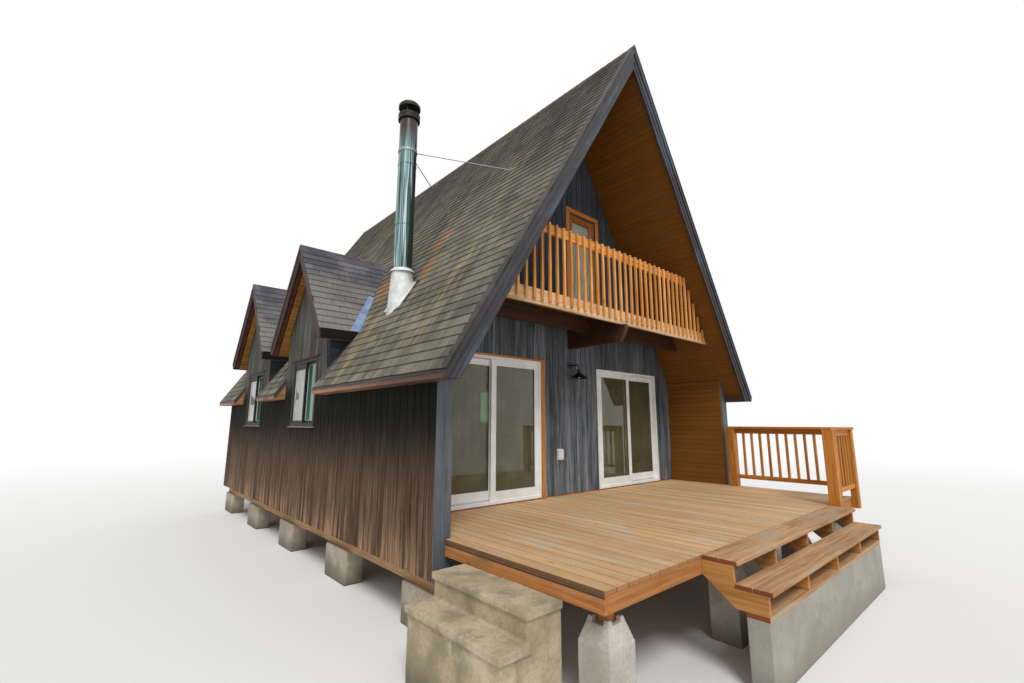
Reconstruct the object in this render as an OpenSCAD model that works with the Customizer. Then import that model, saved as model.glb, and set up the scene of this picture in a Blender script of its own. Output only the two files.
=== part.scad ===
// A-frame cabin with a deck, a gable balcony and two wall dormers on each side.
// Millimetres. +X runs right along the front, +Y from the front to the back, +Z up.
// The origin lies at ground level under the middle of the front wall's outer face.

/* [Levels] */
// Height of the deck's top above the lowest ground
deck_top = 940; // [900:10:1200]
// Step from the deck up to the ground floor
floor_step = 20; // [10:5:40]
// How far the siding hangs below the deck's top
siding_drop = 375; // [340:5:420]
// Height of the loft floor above the deck's top
loft_rise = 2800; // [2700:10:2900]
// Depth of the loft floor
loft_t = 270; // [220:10:300]

/* [House body] */
// Width over the side walls
house_w = 6540; // [6300:10:6800]
// Length from the front wall to the outside of the back wall
house_l = 8180; // [7900:10:8600]
// Thickness of the outside walls
wall_t = 170; // [140:5:200]
// How far the side walls run past the front wall
porch_d = 1100; // [900:10:1300]
// Thickness of the corner boards
corner_t = 20; // [12:1:30]

/* [Main roof] */
// Height of the ridge above the deck's top
ridge_rise = 7150; // [7000:10:7500]
// Height of the eave's edge above the deck's top
eave_rise = 1632; // [1550:2:1700]
// How far the eave's edge stands out past the side wall
eave_out = 190; // [150:5:300]
// Thickness of the roof, square to the slope
roof_t = 140; // [120:5:180]
// Height of the eave's plumb edge
eave_edge = 82; // [50:2:110]
// How far the roof runs past the ends of the side walls at the front
rake_over = 365; // [250:5:450]
// How far the roof runs past the back wall
back_over = 360; // [250:10:450]
// Width of the rake boards, square to the slope
rake_w = 210; // [180:5:260]
// Thickness of the rake boards
rake_t = 38; // [25:1:50]
// Width of the narrow moulding on top of each rake board
mould_w = 70; // [40:5:100]
// How far that moulding stands out
mould_t = 20; // [10:1:30]
// Thickness of the boards that line the porch roof and walls
lining_t = 19; // [12:1:25]
// Thickness of the eave boards
eave_board_t = 20; // [15:1:30]

/* [Dormers] */
// Width over the side walls of a dormer
dormer_w = 1960; // [1800:10:2100]
// Distance from the front wall to the middle of the first dormer
dormer_first = 2970; // [2850:10:3100]
// Distance between the middles of the two dormers
dormer_pitch = 3110; // [3000:10:3250]
// Height of a dormer's ridge above the deck's top
dormer_ridge_rise = 4130; // [4000:10:4300]
// Pitch of the dormer roofs, in degrees
dormer_angle = 53; // [50:1:56]
// How far a dormer roof runs past the dormer's side walls
dormer_eave_over = 250; // [150:10:300]
// How far a dormer roof runs past the house wall
dormer_front_over = 230; // [150:10:300]
// Thickness of a dormer roof, square to its slope
dormer_roof_t = 90; // [70:5:120]
// Thickness of a dormer's side walls
cheek_t = 100; // [80:5:130]
// Plumb height of a dormer's rake boards
dormer_rake_h = 300; // [220:5:320]
// Thickness of a dormer's rake boards
dormer_rake_t = 20; // [15:1:30]

/* [Windows] */
// Width of a window
window_w = 1120; // [900:10:1250]
// Height of a window
window_h = 1100; // [900:10:1200]
// Height of a window's sill above the deck's top
window_rise = 1060; // [1000:10:1200]
// Face width of a window frame
window_frame_w = 55; // [40:1:80]
// Depth of a window frame
window_frame_d = 90; // [60:1:120]
// How far a window frame stands out of the wall
window_proud = 15; // [5:1:25]
// Width of the middle bar of a window
mullion_w = 60; // [40:1:80]
// Thickness of the glass
glass_t = 6; // [4:1:12]
// Distance from the ridge line to the middle of each back window
back_window_x = 1550; // [1300:10:1900]
// Width of the loft window in the back wall
loft_window_w = 800; // [600:10:900]
// Height of the loft window's sill above the loft floor
loft_window_sill = 700; // [500:10:900]

/* [Patio doors] */
// Distance between the two patio doors
door_gap = 1400; // [1300:10:1500]
// Width of a patio door, over its frame
door_w = 1890; // [1800:10:1950]
// Height of a patio door, over its frame
door_h = 2045; // [1980:5:2080]
// Face width of the door frame
jamb_w = 45; // [40:1:60]
// Depth of the door frame
jamb_d = 120; // [115:1:150]
// How far the door frame stands out of the wall
door_proud = 18; // [10:1:30]
// Face width of the stiles and rails of a door panel
stile_w = 75; // [60:1:95]
// Height of the bottom rail of a door panel
bottom_rail_h = 110; // [90:1:150]
// Thickness of a door panel
panel_t = 36; // [30:1:40]
// Clearance round a sliding panel
slide_gap = 6; // [5:0.5:8]
// Radius of the rollers under a sliding panel
roller_r = 15; // [12:1:20]
// Thickness of the track that the rollers run on
track_t = 6; // [4:1:6]
// Height of the track that the rollers run on
track_h = 8; // [6:1:10]
// Thickness of the rollers
roller_t = 8; // [6:1:12]
// Gap between a roller and its track
roller_gap = 0.3; // [0.2:0.1:0.5]
// Height of a door handle
handle_h = 220; // [180:5:260]
// Width of a door handle
handle_w = 25; // [18:1:30]
// How far a door handle stands out of its panel
handle_d = 34; // [25:1:36]
// Width of the cedar boards round the left door and the balcony door
casing_w = 90; // [70:5:110]
// Height of the thin board over the left door
head_h = 30; // [20:5:60]
// Thickness of the cedar boards round the doors
casing_t = 20; // [15:1:25]

/* [Balcony] */
// How far the balcony stands out of the front wall
balcony_d = 1100; // [950:10:1200]
// Distance from the ridge line to the middle of the balcony door
balcony_door_x = 422; // [380:2:460]
// Width of the balcony door
balcony_door_w = 720; // [680:10:760]
// Height of the balcony door
balcony_door_h = 2030; // [1980:10:2080]
// Thickness of the balcony door
balcony_door_t = 45; // [35:1:60]
// How far the balcony door stands back in the wall
balcony_door_in = 30; // [20:5:60]
// Thickness of the balcony floor boards
balcony_board_t = 38; // [25:1:45]
// Height of the light rim board
balcony_rim_h = 205; // [180:5:240]
// Thickness of the light rim board
balcony_rim_t = 38; // [25:1:45]
// Height of the balcony's top rail above the balcony floor
balcony_rail_h = 950; // [900:10:1070]
// Side of a baluster
baluster = 38; // [32:1:45]
// Distance between the middles of two balcony balusters
balcony_pitch = 142; // [125:1:155]
// Thickness of the two beams under the balcony
beam_t = 90; // [60:5:120]
// How far the beam in the middle hangs below the rim board
beam_drop = 255; // [220:5:280]
// How far the nose of that beam stands out past the rim board
beam_nose = 50; // [20:5:80]
// Height of that nose at its tip
nose_h = 85; // [60:5:120]
// Distance from the rim board's face back to the long beam
long_beam_back = 610; // [500:10:700]
// How far the long beam hangs below the rim board
long_beam_drop = 45; // [20:5:80]

/* [Deck] */
// Distance from the front wall to the deck's front edge
deck_d = 3030; // [2900:10:3200]
// How far the deck's side edges stand in from the outside of the side walls
deck_inset = 110; // [70:5:120]
// Thickness of the deck boards
board_t = 38; // [25:1:45]
// Height of the frame under the boards
deck_frame_h = 120; // [100:5:160]
// Thickness of the frame's joists
joist_t = 38; // [35:1:45]
// Largest distance between two joists
joist_pitch = 600; // [500:10:650]
// Side of the posts under the deck
deck_post = 90; // [80:1:110]
// Side of a deck block at its foot
block_w = 290; // [260:5:320]
// Side of a deck block at its top
block_top_w = 200; // [180:5:230]
// Height of the tapered part of a deck block
block_h = 130; // [110:5:150]
// Height of the deck's top above a deck block's top
block_drop = 270; // [240:5:300]
// Distance from the deck's side edges to the middle of the outer posts
post_inset_x = 200; // [110:5:260]
// Distance from the deck's front edge to the middle of the front posts
post_inset_y = 150; // [110:5:200]
// Distance between the two rows of posts
post_rows = 1350; // [1100:10:1400]

/* [Front stair] */
// Distance from the deck's left edge to the stair's left end
stair_left_in = 1360; // [1200:10:1500]
// Distance from the deck's right edge to the stair's right end
stair_right_in = 1245; // [1200:5:1500]
// Depth of the top step
platform_d = 300; // [270:5:340]
// Depth of the lower step
tread_d = 295; // [260:5:310]
// Height from the lower step to the deck's top
riser_h = 173; // [160:1:185]
// How far a step's nose stands over the stringer under it
nosing = 35; // [20:1:45]
// Height of the stair's foot below the deck's top
stair_drop = 400; // [380:5:420]
// Depth of the board that the stringers stand on
foot_plate_d = 184; // [140:4:240]
// Thickness of a stringer
stringer_t = 38; // [25:1:45]
// Number of stringers
stringers = 5; // [4:1:6]

/* [Deck railing] */
// Gap between the stair and the railing post beside it
stair_gap = 10; // [5:1:20]
// Side of the two large railing posts
post_w = 140; // [120:1:150]
// Side of the end post at the corner
end_post_w = 100; // [85:1:115]
// Height of the railing above the deck
rail_h = 1067; // [1000:1:1100]
// Thickness of the railing's cap
cap_t = 38; // [30:1:45]
// Width of the railing's cap
cap_w = 140; // [120:1:160]
// Height of the rail under the cap
top_rail_h = 89; // [70:1:100]
// Height of the bottom rail
bottom_rail_side_h = 70; // [60:1:90]
// Height of the bottom rail above the deck
bottom_rail_z = 140; // [100:5:180]
// Largest distance between the middles of two railing balusters
rail_pitch = 150; // [130:1:155]
// Distance from the front wall to the middle of the railing's first post
rail_start = 1260; // [1210:5:1300]

/* [Side steps] */
// Width of the concrete steps
step_w = 1200; // [1000:10:1250]
// Distance from the deck's front edge to the steps
step_back = 370; // [350:10:420]
// Depth of each concrete step
step_d = 365; // [320:5:380]
// Depth of the lower concrete step
low_step_d = 245; // [220:5:300]
// Height from the top concrete step to the deck
step_rise_top = 150; // [125:5:155]
// Height from the lower concrete step to the top one
step_rise_low = 205; // [180:5:220]
// How far the slab of a concrete step stands out of its block
step_nose = 20; // [10:1:30]
// Thickness of the slab of a concrete step
step_slab_t = 55; // [45:1:70]

/* [Foundation] */
// Height of the floor beams
sill_h = 150; // [120:5:200]
// Thickness of the floor beams
sill_t = 140; // [90:5:160]
// Distance from the outside of a side wall to the middle of the floor beam under it
sill_inset = 180; // [160:5:230]
// Thickness of a pier
pier_t = 250; // [200:10:300]
// Length of a pier
pier_l = 700; // [400:10:900]
// Number of piers under each floor beam
piers = 5; // [4:1:6]

/* [Chimney] */
// Distance from the ridge line to the middle of the chimney
chimney_x = 2620; // [2500:10:2700]
// Distance from the front wall to the middle of the chimney
chimney_y = 1000; // [900:10:1150]
// Outer diameter of the chimney pipe
pipe_d = 280; // [250:2:300]
// Thickness of the pipe's double wall
pipe_wall = 30; // [25:1:60]
// Distance from the level of the ridge down to the top of the pipe
pipe_drop = 1205; // [1000:5:1300]
// Height of the storm collar above the roof, at the middle of the pipe
collar_rise = 368; // [300:2:450]
// Diameter of the flashing cone at its top
cone_top_d = 320; // [306:2:350]
// Diameter of the flashing cone where it meets the roof
cone_foot_d = 420; // [380:5:480]
// Thickness of the sheet metal
sheet_t = 6; // [4:1:10]
// How far the storm collar stands out past the cone
collar_over = 30; // [15:5:50]
// Height of the storm collar
collar_h = 60; // [40:5:90]
// Height of the rain cap above the pipe
cap_h = 215; // [190:5:300]
// How far the rain cap's sleeve and lid stand out past the pipe
cap_over = 32; // [20:2:45]
// How far the rain cap's sleeve reaches down over the pipe
cap_sleeve = 75; // [60:5:120]
// Height of the rain cap's lid
lid_h = 80; // [60:5:100]
// Width of the four straps that carry the lid
strap_w = 20; // [12:1:30]
// Diameter of the stay rods
stay_d = 14; // [10:1:25]
// Distance from the top of the pipe down to the stays' band
band_drop = 615; // [500:5:800]
// Height of the stays' band
band_h = 50; // [30:2:70]
// Thickness of the stays' band
band_t = 8; // [4:1:12]
// Distance up the roof, on plan, from the chimney to the front stay's foot
front_stay_up = 1393; // [1100:1:1700]
// Distance along the ridge from the chimney to the front stay's foot
front_stay_along = 880; // [600:5:1100]
// Distance up the roof, on plan, from the chimney to the back stay's foot
back_stay_up = 1236; // [1000:1:1700]
// Distance along the ridge from the chimney to the back stay's foot
back_stay_along = 690; // [500:5:1100]
// Length of the foot plates of the stays
foot_l = 100; // [60:5:150]
// Width of the foot plates of the stays
foot_w = 70; // [40:5:100]
// Thickness of the foot plates of the stays
foot_t = 8; // [5:1:12]

/* [Wall fittings] */
// Height of the lamp's arm above the deck's top
lamp_rise = 2063; // [2000:5:2150]
// Diameter of the lamp's wall plate
lamp_plate_d = 120; // [90:5:140]
// Thickness of the lamp's wall plate
lamp_plate_t = 20; // [15:1:30]
// Diameter of the lamp's arm
arm_d = 22; // [18:1:30]
// Radius of the bend at the end of the arm
arm_bend = 40; // [30:5:60]
// Diameter of the lamp's neck
neck_d = 60; // [45:5:80]
// Height of the lamp's neck
neck_h = 50; // [35:5:70]
// Diameter of the lamp's shade
shade_d = 290; // [260:5:330]
// Height of the lamp's shade
shade_h = 90; // [70:5:120]
// Thickness of the lamp's shade
shade_t = 4; // [3:1:6]
// How far the lamp's shade hangs in front of the wall
lamp_out = 205; // [180:5:250]
// Height of the outlet cover's middle above the deck's top
outlet_rise = 630; // [550:10:700]
// Distance from the ridge line to the middle of the outlet cover
outlet_x = 280; // [200:10:400]
// Width of the outlet cover
outlet_w = 130; // [100:5:160]
// Height of the outlet cover
outlet_h = 175; // [140:5:200]
// Depth of the outlet cover
outlet_d = 50; // [30:5:80]

/* [Hidden] */
$fn = 48;

// Half widths of the house outside and inside its walls
out_x = house_w / 2;
in_x = out_x - wall_t;
// Main levels above the origin
floor_top = deck_top + floor_step;
siding_z = deck_top - siding_drop;
loft_top = deck_top + loft_rise;
ridge_z = deck_top + ridge_rise;
eave_z = deck_top + eave_rise;
eave_half = out_x + eave_out;
// The main roof falls by slope for each unit away from the ridge
slope = (ridge_z - eave_z) / eave_half;
roof_angle = atan(slope);
roof_v = roof_t / cos(roof_angle);
lining_v = lining_t / cos(roof_angle);
roof_y0 = -porch_d - rake_over;
roof_y1 = house_l + back_over;
eave_under = eave_z - eave_edge;
// Dormers
dormer_slope = tan(dormer_angle);
dormer_roof_v = dormer_roof_t / cos(dormer_angle);
dormer_ridge_z = deck_top + dormer_ridge_rise;
dormer_half = dormer_w / 2 + dormer_eave_over;
dormer_front_x = out_x + dormer_front_over;
dormer_ys = [dormer_first, dormer_first + dormer_pitch];
// Windows and doors
window_z = deck_top + window_rise;
door_top = floor_top + door_h;
door_near = door_gap / 2;
door_far = door_near + door_w;
loft_window_z = loft_top + loft_window_sill;
// Door panels, measured from the outer left corner of the door frame on the floor
fixed_y = 10;
panel_w = (door_w - 2 * jamb_w + stile_w) / 2;
panel_z0 = jamb_w + track_h + slide_gap;
panel_z1 = door_h - jamb_w - slide_gap;
slide_x0 = door_w - jamb_w - slide_gap - panel_w;
slide_y = fixed_y + panel_t + slide_gap;
// Floor beams: the middle one starts half a pier in front of the front wall,
// the outer ones under the ends of the side walls
side_beam_x = out_x - sill_inset;
middle_beam_y = -pier_l / 2;
side_beam_y = -porch_d;
// Balcony
balcony_floor_z = loft_top;
balcony_rim_z = balcony_floor_z - balcony_rim_h;
// Chimney, and the feet of its stays on the roof
pipe_top = ridge_z - pipe_drop;
band_z = pipe_top - band_drop;
stay_feet = [[front_stay_up - chimney_x, chimney_y - front_stay_along],
    [back_stay_up - chimney_x, chimney_y + back_stay_along]];
// Deck
deck_half = out_x - deck_inset;
deck_board_z = deck_top - board_t;
deck_frame_z = deck_board_z - deck_frame_h;
joist_bays = ceil((deck_d - joist_t) / joist_pitch);
joist_bay = (deck_d - joist_t) / joist_bays;
post_x = deck_half - post_inset_x;
post_xs = [-post_x, -post_x / 3, post_x / 3, post_x];
post_ys = [post_inset_y - deck_d, post_inset_y + post_rows - deck_d];
block_z = deck_top - block_drop;
// Front stair
stair_left = stair_left_in - deck_half;
stair_right = deck_half - stair_right_in;
platform_y = -deck_d - platform_d;
riser_y = platform_y + nosing;
tread_z = deck_top - riser_h;
tread_y = riser_y - tread_d;
stair_front_y = tread_y + nosing;
stair_foot = deck_top - stair_drop;
// Deck railing
rail_top = deck_top + rail_h;
stair_post_x = stair_right + stair_gap;
run_x = deck_half - post_w / 2;
front_run_y = -deck_d - end_post_w / 2;
// A little more than any part of the house, for cuts that run right through
beyond = 12000;

// Gap left where a board or wall meets a slanted face
seat = 0.2;

function roof_top(x) = ridge_z - slope * x;
function roof_under(x) = roof_top(x) - roof_v;
function roof_under_x(z) = (ridge_z - roof_v - z) / slope;
function lining_x(z) = (ridge_z - roof_v - lining_v - z) / slope;
function dormer_top(d) = dormer_ridge_z - dormer_slope * d;
function dormer_under(d) = dormer_top(d) - dormer_roof_v;

module box(x0, x1, y0, y1, z0, z1) {
    translate([x0, y0, z0]) cube([x1 - x0, y1 - y0, z1 - z0]);
}

// A profile drawn in X and Z, run from y0 to y1
module along_y(y0, y1) {
    translate([0, y1, 0]) rotate([90, 0, 0]) linear_extrude(y1 - y0) children();
}

// A profile drawn in Y and Z, run from x0 to x1
module along_x(x0, x1) {
    translate([x0, 0, 0]) rotate([90, 0, 90]) linear_extrude(x1 - x0) children();
}

module on_left() {
    mirror([1, 0, 0]) children();
}

module on_both() {
    children();
    on_left() children();
}

// Everything below a plane that lies depth under the outer surface of the main roof's right slope,
// or else just clear of that surface
module below_roof(depth = -seat) {
    along_y(-beyond, beyond)
        polygon([[0, -beyond], [0, ridge_z - depth], [beyond, roof_top(beyond) - depth], [beyond, -beyond]]);
}

// Gable outline of a dormer at y, up to its roof's underside, half as wide as given
module dormer_outline(y, half, z0) {
    side_z = dormer_under(half) - seat;
    polygon([[y - half, z0], [y + half, z0], [y + half, side_z], [y, dormer_under(0) - seat],
        [y - half, side_z]]);
}

// Foundation

// A row of piers under a floor beam that starts at y
module pier_row(x, y) {
    step = (house_l - pier_l - y) / (piers - 1);
    for (k = [0 : piers - 1])
        translate([x - pier_t / 2, y + k * step, 0]) cube([pier_t, pier_l, siding_z - sill_h]);
}

module foundation_piers() {
    color("gray") {
        on_both() pier_row(side_beam_x, side_beam_y);
        pier_row(0, middle_beam_y);
    }
}

module floor_beam(x, y) {
    box(x - sill_t / 2, x + sill_t / 2, y, house_l, siding_z - sill_h, siding_z);
}

module floor_beams() {
    color("burlywood") {
        on_both() floor_beam(side_beam_x, side_beam_y);
        floor_beam(0, middle_beam_y);
    }
}

// Floors

// The ground floor with its frame, and the loft floor between the roof slopes
module floors() {
    loft_low = loft_top - loft_t;
    low_x = roof_under_x(loft_low) - seat;
    high_x = roof_under_x(loft_top) - seat;
    color("tan") {
        box(-in_x, in_x, 0, house_l - wall_t, siding_z, floor_top);
        along_y(wall_t, house_l - wall_t)
            polygon([[-low_x, loft_low], [low_x, loft_low], [high_x, loft_top], [-high_x, loft_top]]);
    }
}

// Walls

module window_hole(y) {
    along_x(in_x - 10, out_x + 10) translate([y - window_w / 2, window_z]) square([window_w, window_h]);
}

module side_wall() {
    difference() {
        union() {
            along_y(-porch_d, house_l)
                polygon([[in_x, siding_z], [out_x, siding_z], [out_x, roof_under(out_x) - seat],
                    [in_x, roof_under(in_x) - seat]]);
            for (y = dormer_ys) along_x(in_x, out_x) dormer_outline(y, dormer_w / 2, siding_z);
        }
        for (y = dormer_ys) window_hole(y);
    }
}

module side_walls() {
    color("saddlebrown") on_both() side_wall();
}

// Outline of the space between the side walls and under the roof, above z0
module gable_outline(z0) {
    side_z = roof_under(in_x) - seat;
    polygon([[-in_x, z0], [in_x, z0], [in_x, side_z], [0, roof_under(0) - seat], [-in_x, side_z]]);
}

module rear_wall() {
    color("darkslategray") difference() {
        along_y(house_l - wall_t, house_l) gable_outline(siding_z);
        for (x = [-back_window_x, back_window_x])
            box(x - window_w / 2, x + window_w / 2, house_l - wall_t - 10, house_l + 10,
                window_z, window_z + window_h);
        box(-loft_window_w / 2, loft_window_w / 2, house_l - wall_t - 10, house_l + 10,
            loft_window_z, loft_window_z + window_h);
    }
}

// Piece of the front wall between two places along it and two levels
module front_wall_piece(x0, x1, z0, z1) {
    along_y(0, wall_t) intersection() {
        gable_outline(siding_z);
        translate([x0, z0]) square([x1 - x0, z1 - z0]);
    }
}

// The three pieces beside and between the patio doors
module front_wall() {
    color("darkslategray") {
        on_both() front_wall_piece(door_far, in_x, floor_top, door_top);
        front_wall_piece(-door_near, door_near, floor_top, door_top);
    }
}

module front_gable_wall() {
    color("darkslategray") difference() {
        front_wall_piece(-in_x, in_x, door_top, ridge_z);
        box(balcony_door_x - balcony_door_w / 2, balcony_door_x + balcony_door_w / 2, -10, wall_t + 10,
            loft_top, loft_top + balcony_door_h);
    }
}

// Outline of a corner board, cut round the boxed eave
module corner_outline() {
    soffit_z = eave_under - eave_board_t;
    polygon([[in_x, siding_z], [out_x + corner_t, siding_z], [out_x + corner_t, soffit_z], [out_x, soffit_z],
        [out_x, roof_under(out_x) - seat], [in_x, roof_under(in_x) - seat]]);
}

// Flat boards that cover the ends of the side walls at the four corners
module corner_boards() {
    color("slategray") on_both() {
        along_y(-porch_d - corner_t, -porch_d) corner_outline();
        along_y(house_l, house_l + corner_t) corner_outline();
    }
}

// Main roof

module roof_slope() {
    difference() {
        along_y(roof_y0, roof_y1) polygon([[0, ridge_z], [eave_half, eave_z], [eave_half, eave_under],
            [roof_under_x(eave_under), eave_under], [0, roof_under(0)]]);
        for (y = dormer_ys) {
            box(in_x, beyond, y - dormer_w / 2, y + dormer_w / 2, 0, beyond);
            along_x(0, in_x + 1) dormer_outline(y, dormer_w / 2 - cheek_t, 0);
        }
    }
}

module left_roof() {
    color("dimgray") difference() {
        on_left() roof_slope();
        translate([-chimney_x, chimney_y, 0]) cylinder(d = pipe_d, h = beyond);
    }
}

module right_roof() {
    color("dimgray") roof_slope();
}

// Outline of the boards under the right slope, out to x
module lining_outline(x) {
    polygon([[0, roof_under(0) - seat], [x, roof_under(x) - seat], [x, roof_under(x) - lining_v],
        [0, roof_under(0) - lining_v]]);
}

// Boards under the porch roof and on the inner faces of the wing walls
module porch_lining() {
    color("chocolate") on_both() {
        along_y(roof_y0, -porch_d - corner_t) lining_outline(out_x);
        along_y(-porch_d - corner_t, 0) lining_outline(in_x);
        box(in_x - lining_t, in_x, -porch_d, 0, deck_top, roof_under(in_x) - seat);
    }
}

// Strip under the right slope's surface, h deep, cut off level with the underside of the eave
module slope_strip(h) {
    foot_x = eave_half + eave_board_t;
    intersection() {
        polygon([[0, ridge_z], [foot_x, roof_top(foot_x)], [foot_x, roof_top(foot_x) - h], [0, ridge_z - h]]);
        translate([0, eave_under - eave_board_t]) square([foot_x, beyond]);
    }
}

// Rake board of the right slope, with its moulding on the outer face
module rake_board(y0, y1, mould_y0, mould_y1) {
    rake_v = rake_w / cos(roof_angle);
    mould_v = mould_w / cos(roof_angle);
    along_y(y0, y1) slope_strip(rake_v);
    along_y(mould_y0, mould_y1) slope_strip(mould_v);
}

module rakes() {
    color("#3a322c") on_both() {
        rake_board(roof_y0 - rake_t, roof_y0, roof_y0 - rake_t - mould_t, roof_y0 - rake_t);
        rake_board(roof_y1, roof_y1 + rake_t, roof_y1 + rake_t, roof_y1 + rake_t + mould_t);
    }
}

// Boards that close the eaves between the dormers
module eave_trim() {
    spans = [[roof_y0, dormer_ys[0] - dormer_w / 2],
        [dormer_ys[0] + dormer_w / 2, dormer_ys[1] - dormer_w / 2], [dormer_ys[1] + dormer_w / 2, roof_y1]];
    fascia_x = eave_half + eave_board_t;
    soffit_z = eave_under - eave_board_t;
    color("sienna") on_both() for (s = spans) along_y(s[0], s[1])
        polygon([[out_x, soffit_z], [fascia_x, soffit_z], [fascia_x, roof_top(fascia_x)], [eave_half, eave_z],
            [eave_half, eave_under], [roof_under_x(eave_under + seat), eave_under],
            [out_x, roof_under(out_x) - seat]]);
}

// Dormers

module dormer_roof(y) {
    difference() {
        along_x(0, dormer_front_x) polygon([[y, dormer_top(0)], [y + dormer_half, dormer_top(dormer_half)],
            [y + dormer_half, dormer_under(dormer_half)], [y, dormer_under(0)],
            [y - dormer_half, dormer_under(dormer_half)], [y - dormer_half, dormer_top(dormer_half)]]);
        below_roof();
    }
}

module dormer_roofs() {
    color("dimgray") on_both() for (y = dormer_ys) dormer_roof(y);
}

module dormer_cheek(y, y0) {
    difference() {
        intersection() {
            along_x(0, in_x) dormer_outline(y, dormer_w / 2, 0);
            box(0, in_x, y0, y0 + cheek_t, 0, beyond);
        }
        below_roof();
    }
}

module dormer_cheeks() {
    color("slategray") on_both() for (y = dormer_ys) {
        dormer_cheek(y, y - dormer_w / 2);
        dormer_cheek(y, y + dormer_w / 2 - cheek_t);
    }
}

// Rake boards of a dormer, cut off level at the feet, and the boards along its eaves
module dormer_trim() {
    end_half = dormer_half + dormer_rake_t;
    foot_z = dormer_under(dormer_half);
    inner = (dormer_top(0) - dormer_rake_h - foot_z) / dormer_slope;
    color("#4a3324") on_both() for (y = dormer_ys) difference() {
        union() {
            along_x(dormer_front_x, dormer_front_x + dormer_rake_t)
                polygon([[y, dormer_top(0)], [y + end_half, dormer_top(end_half)], [y + end_half, foot_z],
                    [y + inner, foot_z], [y, dormer_top(0) - dormer_rake_h], [y - inner, foot_z],
                    [y - end_half, foot_z], [y - end_half, dormer_top(end_half)]]);
            for (s = [-1, 1]) along_x(0, dormer_front_x)
                polygon([[y + s * dormer_half, dormer_top(dormer_half)],
                    [y + s * end_half, dormer_top(end_half)], [y + s * end_half, foot_z],
                    [y + s * dormer_half, foot_z]]);
        }
        below_roof();
    }
}

// Windows

// A window frame with a middle bar, standing at the origin and facing +X
module window_frame(w, h) {
    difference() {
        translate([-window_frame_d, -w / 2, 0]) cube([window_frame_d, w, h]);
        translate([-window_frame_d - 1, window_frame_w - w / 2, window_frame_w])
            cube([window_frame_d + 2, w - 2 * window_frame_w, h - 2 * window_frame_w]);
    }
    translate([-window_frame_d / 2, -mullion_w / 2, window_frame_w])
        cube([window_frame_d / 2, mullion_w, h - 2 * window_frame_w]);
}

module window_pane(w, h) {
    translate([-window_frame_d / 2 - glass_t, window_frame_w - w / 2, window_frame_w])
        cube([glass_t, w - 2 * window_frame_w, h - 2 * window_frame_w]);
}

module each_side_window() {
    on_both() for (y = dormer_ys) translate([out_x + window_proud, y, window_z]) children();
}

module each_back_window() {
    for (x = [-back_window_x, back_window_x])
        translate([x, house_l + window_proud, window_z]) rotate([0, 0, 90]) children();
}

module at_loft_window() {
    translate([0, house_l + window_proud, loft_window_z]) rotate([0, 0, 90]) children();
}

module windows() {
    color("#2b2622") {
        each_side_window() window_frame(window_w, window_h);
        each_back_window() window_frame(window_w, window_h);
        at_loft_window() window_frame(loft_window_w, window_h);
    }
}

module window_glass() {
    color("lightblue") {
        each_side_window() window_pane(window_w, window_h);
        each_back_window() window_pane(window_w, window_h);
        at_loft_window() window_pane(loft_window_w, window_h);
    }
}

// Patio doors. Each is drawn from its outer left corner on the floor, with X along the wall,
// and Y into the house. The fixed panel is on the left and the sliding panel on the right.

module panel_ring(x0, y0, z0, z1) {
    difference() {
        box(x0, x0 + panel_w, y0, y0 + panel_t, z0, z1);
        box(x0 + stile_w, x0 + panel_w - stile_w, y0 - 1, y0 + panel_t + 1, z0 + bottom_rail_h, z1 - stile_w);
    }
}

module panel_pane(x0, y0, z0, z1) {
    pane_y = y0 + (panel_t - glass_t) / 2;
    box(x0 + stile_w, x0 + panel_w - stile_w, pane_y, pane_y + glass_t, z0 + bottom_rail_h, z1 - stile_w);
}

module patio_frame() {
    difference() {
        box(0, door_w, 0, jamb_d, 0, door_h);
        box(jamb_w, door_w - jamb_w, -1, jamb_d + 1, jamb_w, door_h - jamb_w);
    }
    panel_ring(jamb_w, fixed_y, jamb_w, door_h - jamb_w);
    box(jamb_w, door_w - jamb_w, slide_y + (panel_t - track_t) / 2, slide_y + (panel_t + track_t) / 2,
        jamb_w, jamb_w + track_h);
}

module patio_fixed_glass() {
    panel_pane(jamb_w, fixed_y, jamb_w, door_h - jamb_w);
}

module patio_sliding_panel() {
    roller_z = jamb_w + track_h + roller_gap + roller_r;
    handle_x = slide_x0 + panel_w - (stile_w + handle_w) / 2;
    handle_z = (door_h - handle_h) / 2;
    panel_ring(slide_x0, slide_y, panel_z0, panel_z1);
    for (x = [slide_x0 + stile_w, slide_x0 + panel_w - stile_w])
        translate([x, slide_y + (panel_t + roller_t) / 2, roller_z]) rotate([90, 0, 0])
            cylinder(r = roller_r, h = roller_t);
    difference() {
        translate([handle_x, slide_y - handle_d, handle_z]) cube([handle_w, handle_d, handle_h]);
        translate([handle_x - 1, slide_y - handle_d + handle_w / 2, handle_z + handle_w])
            cube([handle_w + 2, handle_d, handle_h - 2 * handle_w]);
    }
}

module patio_sliding_glass() {
    panel_pane(slide_x0, slide_y, panel_z0, panel_z1);
}

module at_right_door() {
    translate([door_near, -door_proud, floor_top]) children();
}

// The left door is the mirror image of the right one
module at_left_door() {
    on_left() at_right_door() children();
}

module door_frames() {
    color("white") {
        at_left_door() patio_frame();
        at_right_door() patio_frame();
    }
}

module fixed_door_glass() {
    color("lightblue") {
        at_left_door() patio_fixed_glass();
        at_right_door() patio_fixed_glass();
    }
}

module left_sliding_panel() {
    color("white") at_left_door() patio_sliding_panel();
}

module left_sliding_glass() {
    color("lightblue") at_left_door() patio_sliding_glass();
}

module right_sliding_panel() {
    color("white") at_right_door() patio_sliding_panel();
}

module right_sliding_glass() {
    color("lightblue") at_right_door() patio_sliding_glass();
}

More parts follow.
